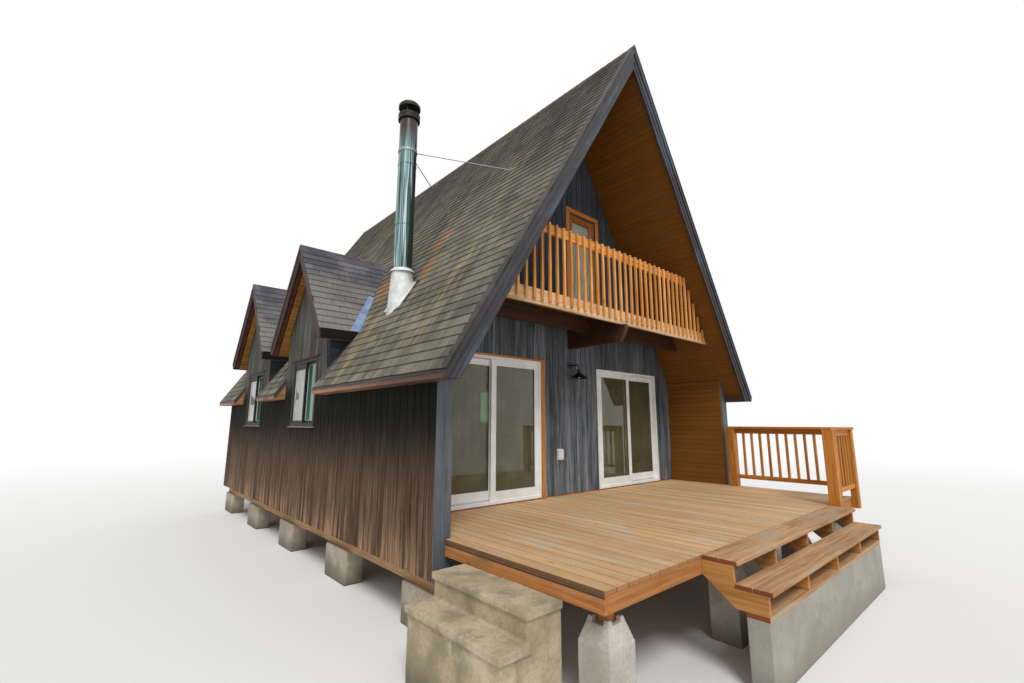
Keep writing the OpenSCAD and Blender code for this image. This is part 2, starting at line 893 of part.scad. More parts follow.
// Cedar boards over and beside the left patio door, and round the balcony door
module door_casings() {
    bx0 = balcony_door_x - balcony_door_w / 2;
    bx1 = balcony_door_x + balcony_door_w / 2;
    color("peru") {
        box(-door_far, -door_near + casing_w, -casing_t, 0, door_top, door_top + head_h);
        box(-door_near, -door_near + casing_w, -casing_t, 0, deck_top, door_top);
        difference() {
            box(bx0 - casing_w, bx1 + casing_w, -casing_t, 0, loft_top, loft_top + balcony_door_h + casing_w);
            box(bx0, bx1, -casing_t - 1, 1, loft_top - 1, loft_top + balcony_door_h);
        }
    }
}

// Balcony

// Outline between the porch linings from z0 up to z1
module porch_outline(z0, z1) {
    x0 = lining_x(z0) - seat;
    x1 = lining_x(z1) - seat;
    polygon([[-x0, z0], [x0, z0], [x1, z1], [-x1, z1]]);
}

module balcony_floor() {
    color("sandybrown") {
        along_y(-balcony_d, 0) porch_outline(balcony_floor_z - balcony_board_t, balcony_floor_z);
        along_y(-balcony_d, balcony_rim_t - balcony_d) porch_outline(balcony_rim_z, balcony_floor_z);
    }
}

// One beam in the middle that carries the balcony, with a sloping nose, and a long one across it
module balcony_beams() {
    top_z = balcony_floor_z - balcony_board_t;
    low_z = balcony_rim_z - beam_drop;
    nose_y = -balcony_d - beam_nose;
    long_y = long_beam_back - balcony_d;
    color("#3b2a20") {
        along_y(long_y, long_y + beam_t) porch_outline(balcony_rim_z - long_beam_drop, top_z);
        along_x(-beam_t / 2, beam_t / 2)
            polygon([[0, low_z], [0, top_z], [balcony_rim_t - balcony_d, top_z],
                [balcony_rim_t - balcony_d, balcony_rim_z], [nose_y, balcony_rim_z],
                [nose_y, balcony_rim_z - nose_h], [nose_y + 2 * beam_nose, low_z]]);
    }
}

module balcony_railing() {
    y0 = -balcony_d - baluster;
    rail_z = balcony_floor_z + balcony_rail_h;
    reach = lining_x(rail_z) - seat;
    count = floor(2 * (lining_x(balcony_rim_z) - baluster) / balcony_pitch);
    color("peru") {
        box(-reach, reach, y0 - baluster, balcony_rim_t - balcony_d, rail_z - balcony_board_t, rail_z);
        intersection() {
            for (k = [0 : count]) {
                x = (k - count / 2) * balcony_pitch;
                box(x - baluster / 2, x + baluster / 2, y0, -balcony_d,
                    balcony_rim_z, rail_z - balcony_board_t);
            }
            along_y(y0, -balcony_d) porch_outline(balcony_rim_z, rail_z);
        }
    }
}

module balcony_door() {
    color("#5a3a22") box(balcony_door_x - balcony_door_w / 2, balcony_door_x + balcony_door_w / 2,
        balcony_door_in, balcony_door_in + balcony_door_t, loft_top, loft_top + balcony_door_h);
}

// Chimney

module at_chimney() {
    translate([-chimney_x, chimney_y, 0]) children();
}

module chimney_pipe() {
    foot_z = roof_under(chimney_x + pipe_d / 2);
    color("silver") difference() {
        at_chimney() translate([0, 0, foot_z]) cylinder(d = pipe_d, h = pipe_top - foot_z);
        at_chimney() translate([0, 0, foot_z - 1]) cylinder(d = pipe_d - 2 * pipe_wall, h = beyond);
        on_left() below_roof(roof_v);
    }
}

module chimney_cap() {
    rim_h = cap_sleeve / 3;
    strap_h = cap_h - lid_h - rim_h + 2 * sheet_t;
    brow_h = lid_h * 0.4;
    color("#222222") at_chimney() translate([0, 0, pipe_top]) {
        difference() {
            translate([0, 0, -cap_sleeve]) cylinder(d = pipe_d + 2 * cap_over, h = cap_sleeve + rim_h);
            translate([0, 0, -cap_sleeve - 1]) cylinder(d = pipe_d, h = cap_sleeve + 1);
            translate([0, 0, -1]) cylinder(d = pipe_d - 2 * pipe_wall, h = beyond);
        }
        for (a = [45 : 90 : 315]) rotate([0, 0, a])
            translate([pipe_d / 2 - strap_w, -strap_w / 2, rim_h - sheet_t]) cube([sheet_t, strap_w, strap_h]);
        translate([0, 0, cap_h - lid_h]) cylinder(d = pipe_d + 2 * cap_over, h = lid_h - brow_h);
        translate([0, 0, cap_h - brow_h]) cylinder(d1 = pipe_d + 2 * cap_over, d2 = pipe_d, h = brow_h);
    }
}

module chimney_flashing() {
    collar_z = roof_top(chimney_x) + collar_rise;
    foot_z = roof_top(chimney_x + cone_foot_d / 2);
    cone_h = collar_z - foot_z;
    color("gainsboro") difference() {
        union() {
            at_chimney() translate([0, 0, foot_z]) cylinder(d1 = cone_foot_d, d2 = cone_top_d, h = cone_h);
            at_chimney() translate([0, 0, collar_z - sheet_t])
                cylinder(d1 = cone_top_d + 2 * collar_over, d2 = pipe_d + 2 * sheet_t, h = collar_h);
        }
        at_chimney() translate([0, 0, foot_z - 1])
            cylinder(d1 = cone_foot_d - 2 * sheet_t, d2 = cone_top_d - 2 * sheet_t, h = cone_h + 1 - sheet_t);
        at_chimney() cylinder(d = pipe_d, h = beyond);
        on_left() below_roof();
    }
}

module rod(p, q, d) {
    v = q - p;
    len = norm(v);
    translate(p) rotate([0, acos(v[2] / len), atan2(v[1], v[0])]) cylinder(d = d, h = len);
}

// Two rods from a band round the pipe to plates on the roof
module chimney_stays() {
    color("gray") difference() {
        union() {
            at_chimney() translate([0, 0, band_z - band_h / 2]) cylinder(d = pipe_d + 2 * band_t, h = band_h);
            for (f = stay_feet) {
                foot = [f[0], f[1], roof_top(-f[0])];
                way = atan2(f[1] - chimney_y, f[0] + chimney_x);
                start_r = pipe_d / 2 - stay_d;
                start = [cos(way) * start_r - chimney_x, sin(way) * start_r + chimney_y, band_z];
                rod(start, foot, stay_d);
                translate(foot) rotate([0, -roof_angle, 0])
                    translate([-foot_l / 2, -foot_w / 2, -foot_t]) cube([foot_l, foot_w, 2 * foot_t]);
            }
        }
        at_chimney() cylinder(d = pipe_d, h = beyond);
        on_left() below_roof();
    }
}

// Deck

module deck_boards() {
    color("burlywood") {
        box(-deck_half, deck_half, -deck_d, -porch_d - corner_t, deck_board_z, deck_top);
        box(-in_x, in_x, -porch_d - corner_t, 0, deck_board_z, deck_top);
    }
}

module deck_frame() {
    color("peru") {
        for (k = [0 : joist_bays]) {
            y = -deck_d + k * joist_bay;
            half = y + joist_t < -porch_d - corner_t ? deck_half : in_x;
            box(-half, half, y, y + joist_t, deck_frame_z, deck_board_z);
        }
        on_both() box(deck_half - joist_t, deck_half, -deck_d, -porch_d - corner_t,
            deck_frame_z, deck_board_z);
        on_both() box(in_x - joist_t, in_x, -porch_d - corner_t - joist_t, 0,
            deck_frame_z, deck_board_z);
        for (x = post_xs) box(x - joist_t / 2, x + joist_t / 2, -deck_d, 0, deck_frame_z, deck_board_z);
    }
}

module deck_posts() {
    color("peru") for (x = post_xs, y = post_ys)
        box(x - deck_post / 2, x + deck_post / 2, y - deck_post / 2, y + deck_post / 2, block_z, deck_frame_z);
}

module deck_footings() {
    color("gray") for (x = post_xs, y = post_ys) translate([x, y, 0]) {
        translate([-block_w / 2, -block_w / 2, 0]) cube([block_w, block_w, block_z - block_h]);
        translate([0, 0, block_z - block_h]) rotate([0, 0, 45])
            cylinder(d1 = block_w * sqrt(2), d2 = block_top_w * sqrt(2), h = block_h, $fn = 4);
    }
    color("gray") box(stair_left, stair_right, stair_front_y, stair_front_y + foot_plate_d, 0, stair_foot);
}

// Front stair

module stair_stringers() {
    pitch = (stair_right - stair_left - stringer_t) / (stringers - 1);
    color("tan") for (k = [0 : stringers - 1]) {
        x = stair_left + k * pitch;
        along_x(x, x + stringer_t)
            polygon([[-deck_d, deck_board_z], [riser_y, deck_board_z], [riser_y, tread_z - board_t],
                [stair_front_y, tread_z - board_t], [stair_front_y, stair_foot + board_t],
                [riser_y, stair_foot + board_t], [-deck_d, deck_frame_z]]);
    }
}

module stair_treads() {
    color("burlywood") {
        box(stair_left, stair_right, platform_y, -deck_d, deck_board_z, deck_top);
        box(stair_left, stair_right, tread_y, tread_y + tread_d, tread_z - board_t, tread_z);
        box(stair_left, stair_right, stair_front_y, stair_front_y + foot_plate_d,
            stair_foot, stair_foot + board_t);
    }
}

// Deck railing: a long run on the deck's right edge, and a short one along its front edge

module railing_posts() {
    low_z = deck_frame_z;
    color("peru") {
        box(run_x - post_w / 2, run_x + post_w / 2, -rail_start - post_w / 2, -rail_start + post_w / 2,
            deck_top, rail_top - cap_t);
        box(stair_post_x, stair_post_x + post_w, -deck_d - post_w, -deck_d, low_z, rail_top - cap_t);
        box(deck_half - end_post_w, deck_half, -deck_d - end_post_w, -deck_d, low_z, rail_top - cap_t);
    }
}

// A railing run along X from x0 to x1, with its middle on y
module railing_run(x0, x1, y) {
    gaps = ceil((x1 - x0) / rail_pitch);
    pitch = (x1 - x0) / gaps;
    rail_z = rail_top - cap_t - top_rail_h;
    low_z = deck_top + bottom_rail_z;
    box(x0, x1, y - baluster / 2, y + baluster / 2, rail_z, rail_top - cap_t);
    box(x0, x1, y - baluster / 2, y + baluster / 2, low_z, low_z + bottom_rail_side_h);
    for (k = [1 : gaps - 1])
        translate([x0 + k * pitch - baluster / 2, y - baluster / 2, low_z + bottom_rail_side_h])
            cube([baluster, baluster, rail_z - low_z - bottom_rail_side_h]);
}

module side_railing() {
    color("peru") {
        rotate([0, 0, -90]) railing_run(rail_start + post_w / 2, deck_d, run_x);
        box(run_x - cap_w / 2, run_x + cap_w / 2, front_run_y + cap_w / 2, -rail_start + post_w / 2,
            rail_top - cap_t, rail_top);
    }
}

module front_railing() {
    color("peru") {
        railing_run(stair_post_x + post_w, deck_half - end_post_w, front_run_y);
        box(stair_post_x, deck_half, front_run_y - cap_w / 2, front_run_y + cap_w / 2,
            rail_top - cap_t, rail_top);
    }
}

// Concrete steps on the left of the deck

module concrete_steps() {
    y0 = -deck_d + step_back;
    top_z = deck_top - step_rise_top;
    low_z = top_z - step_rise_low;
    x1 = -deck_half;
    x0 = x1 - step_d;
    low_x0 = x0 - low_step_d;
    color("darkgray") {
        box(x0, x1, y0, y0 + step_w, top_z - step_slab_t, top_z);
        box(x0 + step_nose, x1, y0 + step_nose, y0 + step_w - step_nose, 0, top_z - step_slab_t);
        box(low_x0, x0 + 2 * step_nose, y0, y0 + step_w, low_z - step_slab_t, low_z);
        box(low_x0 + step_nose, x0 + step_nose, y0 + step_nose, y0 + step_w - step_nose,
            0, low_z - step_slab_t);
    }
}

// Wall fittings

// A shade on a short neck, hung from an arm that bends down at its end
module barn_lamp() {
    arm_end_y = arm_bend - lamp_out;
    neck_z = -arm_bend - neck_h - 2 * arm_d;
    color("#1c1c1c") translate([0, 0, deck_top + lamp_rise]) {
        rotate([90, 0, 0]) cylinder(d = lamp_plate_d, h = lamp_plate_t);
        translate([0, arm_end_y, 0]) rotate([-90, 0, 0])
            cylinder(d = arm_d, h = -arm_end_y - lamp_plate_t / 2);
        translate([0, arm_end_y, -arm_bend]) rotate([90, 0, -90])
            rotate_extrude(angle = 90) translate([arm_bend, 0]) circle(d = arm_d - 4);
        translate([0, -lamp_out, neck_z + neck_h / 2])
            cylinder(d = arm_d, h = -arm_bend - neck_z - neck_h / 2);
        translate([0, -lamp_out, neck_z]) cylinder(d = neck_d, h = neck_h);
        translate([0, -lamp_out, neck_z - shade_h]) difference() {
            cylinder(d1 = shade_d, d2 = neck_d, h = shade_h);
            translate([0, 0, -1])
                cylinder(d1 = shade_d - 2 * shade_t, d2 = neck_d - 2 * shade_t, h = shade_h - shade_t);
        }
    }
}

module outlet_cover() {
    z0 = deck_top + outlet_rise - outlet_h / 2;
    x0 = -outlet_x - outlet_w / 2;
    color("white") box(x0, x0 + outlet_w, -outlet_d, 0, z0, z0 + outlet_h);
}

foundation_piers();
floor_beams();
floors();
side_walls();
rear_wall();
front_wall();
front_gable_wall();
left_roof();
right_roof();
porch_lining();
rakes();
eave_trim();
dormer_roofs();
dormer_cheeks();
dormer_trim();
windows();
window_glass();
corner_boards();
door_frames();
fixed_door_glass();
left_sliding_panel();
left_sliding_glass();
right_sliding_panel();
right_sliding_glass();
door_casings();
balcony_floor();
balcony_beams();
balcony_railing();
balcony_door();
chimney_pipe();
chimney_cap();
chimney_flashing();
chimney_stays();
deck_boards();
deck_frame();
deck_posts();
deck_footings();
stair_stringers();
stair_treads();
railing_posts();
side_railing();
front_railing();
concrete_steps();
barn_lamp();
outlet_cover();
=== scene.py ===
import bmesh
import bpy
import math
import numpy
import random
from functools import partialmethod
from mathutils import Matrix, Vector, noise


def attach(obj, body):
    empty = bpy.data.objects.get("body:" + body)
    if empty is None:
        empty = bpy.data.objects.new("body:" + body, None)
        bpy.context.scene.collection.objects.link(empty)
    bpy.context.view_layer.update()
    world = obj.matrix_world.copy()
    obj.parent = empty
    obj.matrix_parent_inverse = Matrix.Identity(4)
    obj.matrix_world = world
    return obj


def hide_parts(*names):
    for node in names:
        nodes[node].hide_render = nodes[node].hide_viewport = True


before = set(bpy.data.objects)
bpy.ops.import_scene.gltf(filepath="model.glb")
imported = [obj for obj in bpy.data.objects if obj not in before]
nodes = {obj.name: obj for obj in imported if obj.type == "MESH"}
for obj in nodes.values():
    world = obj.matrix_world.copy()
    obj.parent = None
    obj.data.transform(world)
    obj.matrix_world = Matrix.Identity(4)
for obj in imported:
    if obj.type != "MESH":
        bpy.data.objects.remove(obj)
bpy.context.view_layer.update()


# Camera: at the left front of the cabin, standing on the ground beside the side steps,
# looking up a little along the diagonal of the deck.
def put(name, data):
    made = bpy.data.objects.new(name, data)
    bpy.context.scene.collection.objects.link(made)
    return made


def turned_to(x_axis, y_axis, z_axis):
    return Matrix((x_axis, y_axis, z_axis)).transposed().to_4x4()


camera = put("camera", bpy.data.cameras.new("camera"))
bpy.context.scene.camera = camera
camera.data.sensor_width = 36.0
camera.data.lens = 16.35
camera.data.clip_end = 200.0
yaw, pitch, roll = [math.radians(angle) for angle in (41.80, 10.006, 0.137)]
view = Vector((math.sin(yaw) * math.cos(pitch), math.cos(yaw) * math.cos(pitch), math.sin(pitch)))
right = Vector((math.cos(yaw), -math.sin(yaw), 0.0))
up = right.cross(view)
turn = turned_to(math.cos(roll) * right + math.sin(roll) * up,
                 math.cos(roll) * up - math.sin(roll) * right, -view)
camera.matrix_world = Matrix.Translation((-5.873, -5.126, 2.050)) @ turn
bpy.context.scene.view_settings.view_transform = "Standard"


# Studio light: a white room all round, one wide soft lamp from the left front, and a pale floor
# that fades into the room.
class Tone:
    # One socket of a node tree, which adds, multiplies and mixes like a number

    def __init__(self, tree, socket=None):
        self.tree = tree
        self.socket = socket

    def feed(self, made, values):
        for name, value in values.items():
            if isinstance(value, Tone):
                self.tree.links.new(value.socket, made.inputs[name])
            else:
                made.inputs[name].default_value = paint(value) if str(value)[0] == "#" else value

    def node(self, kind, settings=None, values=None, out=0):
        made = self.tree.nodes.new(kind if "Node" in kind else "ShaderNode" + kind)
        for name, value in (settings or {}).items():
            setattr(made, name, value)
        self.feed(made, values or {})
        return Tone(self.tree, made.outputs[out])

    def sum(self, how, other, turned=False):
        pair = [other, self] if turned else [self, other]
        kinds = [p.socket.type for p in pair if isinstance(p, Tone)]
        if "RGBA" in kinds:
            pair = [(p, p, p, 1.0) if isinstance(p, float) else p for p in pair]
            return self.node("Mix", {"data_type": "RGBA", "blend_type": how},
                             {0: 1.0, 6: pair[0], 7: pair[1]}, 2)
        kind = "VectorMath" if "VECTOR" in kinds else "Math"
        if kind == "VectorMath":
            pair = [(p, p, p) if isinstance(p, float) else p for p in pair]
        return self.node(kind, {"operation": how}, {0: pair[0], 1: pair[1]})

    __add__ = partialmethod(sum, "ADD")
    __radd__ = partialmethod(sum, "ADD", turned=True)
    __sub__ = partialmethod(sum, "SUBTRACT")
    __rsub__ = partialmethod(sum, "SUBTRACT", turned=True)
    __mul__ = partialmethod(sum, "MULTIPLY")
    __rmul__ = partialmethod(sum, "MULTIPLY", turned=True)
    __truediv__ = partialmethod(sum, "DIVIDE")
    most = partialmethod(sum, "MAXIMUM")
    least = partialmethod(sum, "MINIMUM")

    def math(self, how):
        return self.node("Math", {"operation": how}, {0: self})

    def rise(self, low, high):
        # 0 below low and 1 above high, smooth between
        return self.node("MapRange", {"interpolation_type": "SMOOTHSTEP"}, {0: self, 1: low, 2: high})

    def pick(self, first, second):
        # The first colour where this is 0, the second where it is 1
        return self.node("Mix", {"data_type": "RGBA"}, {0: self, 6: first, 7: second}, 2)

    def cloud(self, scale, detail=3.0, rough=0.55, twist=0.0):
        return self.node("TexNoise", {}, {"Vector": self, "Scale": scale, "Detail": detail,
                                          "Roughness": rough, "Distortion": twist})

    def cells(self, scale):
        return self.node("TexVoronoi", {}, {"Vector": self, "Scale": scale})

    def axis(self, name):
        return self.node("SeparateXYZ", {}, {0: self}, "XYZ".index(name))

    def vector(self, x, y, z):
        return self.node("CombineXYZ", {}, {"X": x, "Y": y, "Z": z})

    def told(self, name, out=2):
        # What the mesh says of itself here: its own grain, tint or reach
        return self.node("Attribute", {"attribute_name": name}, out=out)

    def relief(self, distance):
        # The normal of a surface whose height this is, in metres times distance
        return self.node("Bump", {}, {"Strength": 1.0, "Distance": distance, "Height": self})


world = bpy.data.worlds.new("world")
bpy.context.scene.world = world
world.use_nodes = True
room = Tone(world.node_tree)
seen = room.node("LightPath").most(room.node("LightPath", out=3)).most(room.node("LightPath", out=6))
fill = 0.62
room.feed(world.node_tree.nodes["Background"], {"Strength": fill + seen * (1.0 - fill),
                                                "Color": (1.0, 1.0, 1.0, 1.0)})

lamp = put("lamp", bpy.data.lights.new("lamp", "SUN"))
lamp.data.energy = 1.9
lamp.data.angle = 0.35
lamp.rotation_euler = Vector((-0.45, -0.7, 1.0)).to_track_quat("Z", "Y").to_euler()

floor = bpy.data.meshes.new("floor")
floor.from_pydata([(-60, -60, 0), (60, -60, 0), (60, 60, 0), (-60, 60, 0)], [], [(0, 1, 2, 3)])
paper = bpy.data.materials.new("pale_floor")
paper.use_nodes = True
floor.materials.append(paper)
floor = put("floor", floor)
sheet = paper.node_tree.nodes["Principled BSDF"]
spot = Tone(paper.node_tree).node("TexCoord", out=3)
spot.feed(sheet, {"Base Color": (0.80, 0.80, 0.79, 1.0), "Roughness": 0.9})
distance = spot.node("VectorMath", {"operation": "LENGTH"}, {0: spot}, 1)
glow = spot.node("Emission", {}, {"Color": (1.0, 1.0, 1.0, 1.0), "Strength": 1.0})
blend = spot.node("MixShader", {}, {0: distance.rise(11.0, 30.0) * spot.node("LightPath"),
                                    1: Tone(paper.node_tree, sheet.outputs[0]), 2: glow})
spot.feed(paper.node_tree.nodes["Material Output"], {"Surface": blend})


# Foundation piers: short walls of site-cast concrete under the floor beams, rough from the form
# boards, with pale patches where the skin has worn and a darker foot that draws up damp.
def paint(code):
    parts = [int(code[k:k + 2], 16) / 255 for k in (1, 3, 5)]
    return tuple(p / 12.92 if p < 0.04045 else ((p + 0.055) / 1.055) ** 2.4 for p in parts) + (1.0,)


def surface(name, look, **fixed):
    material = bpy.data.materials.new(name)
    material.use_nodes = True
    place = Tone(material.node_tree).node("TexCoord", out=3)
    fixed = {socket.replace("_", " "): value for socket, value in fixed.items()}
    place.feed(material.node_tree.nodes["Principled BSDF"], {**fixed, **look(place)})
    return material


def solid_of(mesh):
    solid = bmesh.new()
    solid.from_mesh(mesh)
    return solid


def mesh_of(solid, name):
    mesh = bpy.data.meshes.new(name)
    solid.to_mesh(mesh)
    solid.free()
    return mesh


def merged(node):
    # A copy of a node's solid without its loose triangles
    solid = solid_of(nodes[node].data)
    bmesh.ops.remove_doubles(solid, verts=solid.verts, dist=0.00005)
    bmesh.ops.dissolve_limit(solid, angle_limit=0.01, verts=solid.verts, edges=solid.edges)
    return solid


def eased(solid, width, segments=1, over=0.4):
    # Takes the sharp edges off
    sharp = [e for e in solid.edges if len(e.link_faces) == 2 and e.calc_face_angle(0.0) > over]
    bmesh.ops.bevel(solid, geom=sharp, offset=width, segments=segments, profile=0.5,
                    affect="EDGES", clamp_overlap=True)
    return solid


def fitted(name, mesh, material, slot, replaced=(), body="cabin"):
    # Sets a finished mesh in its place on the house
    piece = put(name, mesh)
    piece.data.materials.clear()
    piece.data.materials.append(material)
    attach(piece, body)
    if replaced:
        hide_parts(*replaced)


def grown(maker):
    # The mesh that an object's modifier makes, without the object
    mesh = bpy.data.meshes.new_from_object(maker.evaluated_get(bpy.context.evaluated_depsgraph_get()))
    bpy.data.objects.remove(maker)
    return mesh


def cast(name, node, voxel, uneven, material):
    # A solid with worn edges and an uneven skin
    maker = put(name + "_form", mesh_of(merged(node), name))
    skin = maker.modifiers.new("skin", "REMESH")
    skin.mode = "VOXEL"
    skin.voxel_size = voxel
    solid = solid_of(grown(maker))
    for vert in solid.verts:
        if vert.co.z > 0.01:
            lump = noise.noise(vert.co * 9.0) + 0.6 * noise.noise(vert.co * 31.0)
            vert.co += vert.normal * uneven * (lump - 0.4)
        else:
            vert.co.z = 0.0
    mesh = mesh_of(solid, name)
    mesh.shade_smooth()
    fitted(name, mesh, material, "concrete", [node])


def concrete(name, pale, dark, stain, moss=None, behind=None):
    # moss: the colour of its moss, which grows all over or only behind a place on the Y axis
    def look(place):
        broad = place.cloud(2.3, 4.0)
        fine = place.cloud(34.0, 6.0, 0.74)
        pits = place.cells(55.0).rise(0.0, 0.22)
        grains = place.cloud(240.0, 2.0)
        low = place.axis("Z") + broad * 0.25
        colour = (broad * 0.6 + fine * 0.4).rise(0.36, 0.66).pick(dark, pale)
        colour = low.rise(0.42, 0.12).pick(colour, stain)
        if moss:
            damp = (place.cloud(4.4, 5.0, 0.62) * 0.7 + fine * 0.3).rise(0.50, 0.62) * 0.75
            if behind:
                damp = place.axis("Y").rise(behind, behind - 0.04) * (0.6 + 0.4 * damp)
            colour = damp.pick(colour, moss)
        return {"Base Color": colour * (0.72 + 0.28 * pits) * (0.86 + 0.28 * grains),
                "Roughness": 0.82 + 0.12 * fine,
                "Normal": (fine * 1.0 + pits * 0.5 + grains * 0.25).relief(0.006)}
    return surface(name, look)


cast("foundation_walls", "foundation_piers", 0.018, 0.0025,
     concrete("pier_concrete", "#c2b7a4", "#94897a", "#6f6a5c"))


# Floor beams: long sawn fir timbers laid on the piers, still pale yellow, with dark shakes and
# the saw's fuzz on them.
class Boards:
    # Boards gathered into one mesh; each keeps its own grain and tint

    def __init__(self, seed):
        self.points, self.faces, self.grain, self.tint = [], [], [], []
        self.draw = random.Random(seed)
        self.fresh()

    def fresh(self):
        self.shift = Vector([self.draw.uniform(0.0, 30.0) for k in range(3)])
        self.shade = self.draw.random()

    def add(self, solid, along=None, ease=0.003, same=False):
        if not same:
            self.fresh()
        if along is None:
            spread = numpy.array([v.co[:] for v in solid.verts])
            spread = spread - spread.mean(axis=0)
            along = numpy.linalg.eigh(spread.T @ spread)[1][:, 2]
        along = Vector(along).normalized()
        bmesh.ops.recalc_face_normals(solid, faces=solid.faces)
        if ease:
            eased(solid, ease)
        across = along.cross((0.0, 0.0, 1.0) if abs(along.z) < 0.9 else (1.0, 0.0, 0.0)).normalized()
        ways = (along, across, along.cross(across))
        start = len(self.points)
        solid.verts.index_update()
        for vert in solid.verts:
            self.points.append(vert.co[:])
            self.grain.append([vert.co.dot(way) + shift for way, shift in zip(ways, self.shift)])
            self.tint.append(self.shade)
        for face in solid.faces:
            self.faces.append([start + vert.index for vert in face.verts])
        solid.free()

    def between(self, near, far, along=None, ease=0.003, same=False):
        # A board between two outlines of as many corners
        solid = bmesh.new()
        first = [solid.verts.new(p) for p in near]
        last = [solid.verts.new(p) for p in far]
        solid.faces.new(first)
        solid.faces.new(last[::-1])
        for k in range(len(near)):
            solid.faces.new([first[k], first[k - 1], last[k - 1], last[k]])
        self.add(solid, along, ease, same)

    def slab(self, corners, depth, along=None, ease=0.003, same=False):
        self.between(corners, [Vector(p) + Vector(depth) for p in corners], along, ease, same)

    def box(self, x0, x1, y0, y1, z0, z1, along=None, ease=0.003, same=False):
        x0, x1 = sorted((x0, x1))
        if along is None:
            sizes = (x1 - x0, y1 - y0, z1 - z0)
            along = [float(s == max(sizes)) for s in sizes]
        self.slab([(x0, y0, z0), (x1, y0, z0), (x1, y1, z0), (x0, y1, z0)], (0, 0, z1 - z0),
                  along, ease, same)

    def drawn(self, shape, y0, y1, along=(0, 1, 0), ease=0.003, same=False):
        # A board with one section in x and z all the way from y0 to y1
        self.slab([(x, y0, z) for x, z in shape], (0, y1 - y0, 0), along, ease, same)

    def take(self, node, ease=0.003, along=None):
        # Every loose solid of a node, each as one board, in the order of their corners: a dict keeps
        # that order, so that each board has the same tint every time
        whole = merged(node)
        left = dict.fromkeys(whole.verts)
        while left:
            heap = [next(iter(left))]
            part = {heap[0]: left.pop(heap[0])}
            while heap:
                for edge in heap.pop().link_edges:
                    for vert in edge.verts:
                        if vert in left:
                            part[vert] = left.pop(vert)
                            heap.append(vert)
            solid = bmesh.new()
            copies = {vert: solid.verts.new(vert.co) for vert in part}
            for face in dict.fromkeys(face for vert in part for face in vert.link_faces):
                solid.faces.new([copies[vert] for vert in face.verts])
            self.add(solid, along, ease)
        whole.free()

    def mesh(self, name):
        mesh = bpy.data.meshes.new(name)
        mesh.from_pydata(self.points, [], self.faces)
        grain = mesh.attributes.new("grain", "FLOAT_VECTOR", "POINT")
        grain.data.foreach_set("vector", [c for g in self.grain for c in g])
        mesh.attributes.new("tint", "FLOAT", "POINT").data.foreach_set("value", self.tint)
        mesh.validate()
        return mesh

    def fit(self, name, material, slot, *replaced, body="cabin"):
        fitted(name, self.mesh(name), material, slot, replaced, body)


def timber(name, pale, deep, weather=None, worn=0.0, knots=0.0, rough=0.62, ends=None, vary=0.3,
           calm=0.0, joint=None, fade=None, specular=0.3):
    # Wood with its fibres along each board, greyed or stained in patches. ends: an axis, the places of the
    # sawn ends on it, their colour. joint: an axis, where the joints start on it and how far apart they lie;
    # each joint is darkened by dirt and by a painted shade in the gap. fade: an axis, where a second colour
    # starts on it and is full, that colour.
    def look(place):
        grain, tint = place.told("grain", 1), place.told("tint")
        bend = grain + (grain * (1.6, 7.0, 7.0)).cloud(1.0, 2.0) * 0.05
        rings = (bend * (1.1, 34.0, 34.0)).cloud(1.0, 4.0, 0.6)
        fibre = (grain * (9.0, 420.0, 420.0)).cloud(1.0, 3.0, 0.6)
        broad = (grain * (0.9, 6.0, 6.0)).cloud(1.0, 3.0)
        colour = (rings * 0.65 + broad * 0.35).rise(0.34 - calm, 0.64 + calm).pick(deep, pale)
        if knots:
            knot = (grain * (3.1, 8.0, 8.0)).cells(1.0)
            dark = knot.rise(0.17, 0.05) * tint.rise(0.15, 0.6) * knots
            colour = dark.pick(colour, colour * (0.40, 0.27, 0.17, 1.0))
        if weather:
            patch = (broad * 0.6 + place.cloud(1.7, 4.0) * 0.4).rise(0.62 - worn * 0.35, 0.72 - worn * 0.25)
            colour = patch.pick(colour, weather)
        if ends:
            along = place.axis(ends[0])
            sawn = [along.rise(end + 4.0 * way, end + way)
                    for end, way in ((ends[1], 0.001), (ends[2], -0.001))]
            colour = sawn[0].most(sawn[1]).pick(colour, ends[3])
        if fade:
            colour = place.axis(fade[0]).rise(fade[1], fade[2]).pick(colour, fade[3])
        if joint:
            # Dirt and a painted shade darken each joint between the boards
            inside = ((place.axis(joint[0]) - joint[1]) * (1.0 / joint[2])).math("FRACT")
            colour = colour * (0.42 + 0.58 * inside.rise(0.015, 0.075) * inside.rise(0.985, 0.925))
        colour = colour * (0.90 + 0.20 * fibre) * (1.0 - vary / 2 + vary * tint)
        return {"Base Color": colour, "Roughness": rough + 0.18 * rings,
                "Normal": (rings * 0.5 + fibre * 0.5).relief(0.0016)}
    return surface(name, look, Specular_IOR_Level=specular)


def whole(name, node, seed, material, slot, ease=0.003, along=None):
    # A piece of every loose solid of a node, each as one board
    boards = Boards(seed)
    boards.take(node, ease, along)
    boards.fit(name, material, slot, node)


beam_fir = timber("beam_fir", "#cda578", "#a17a4c", "#7d6a52", 0.2, 0.5)
whole("floor_beam_timbers", "floor_beams", 11, beam_fir, "pale_timber")


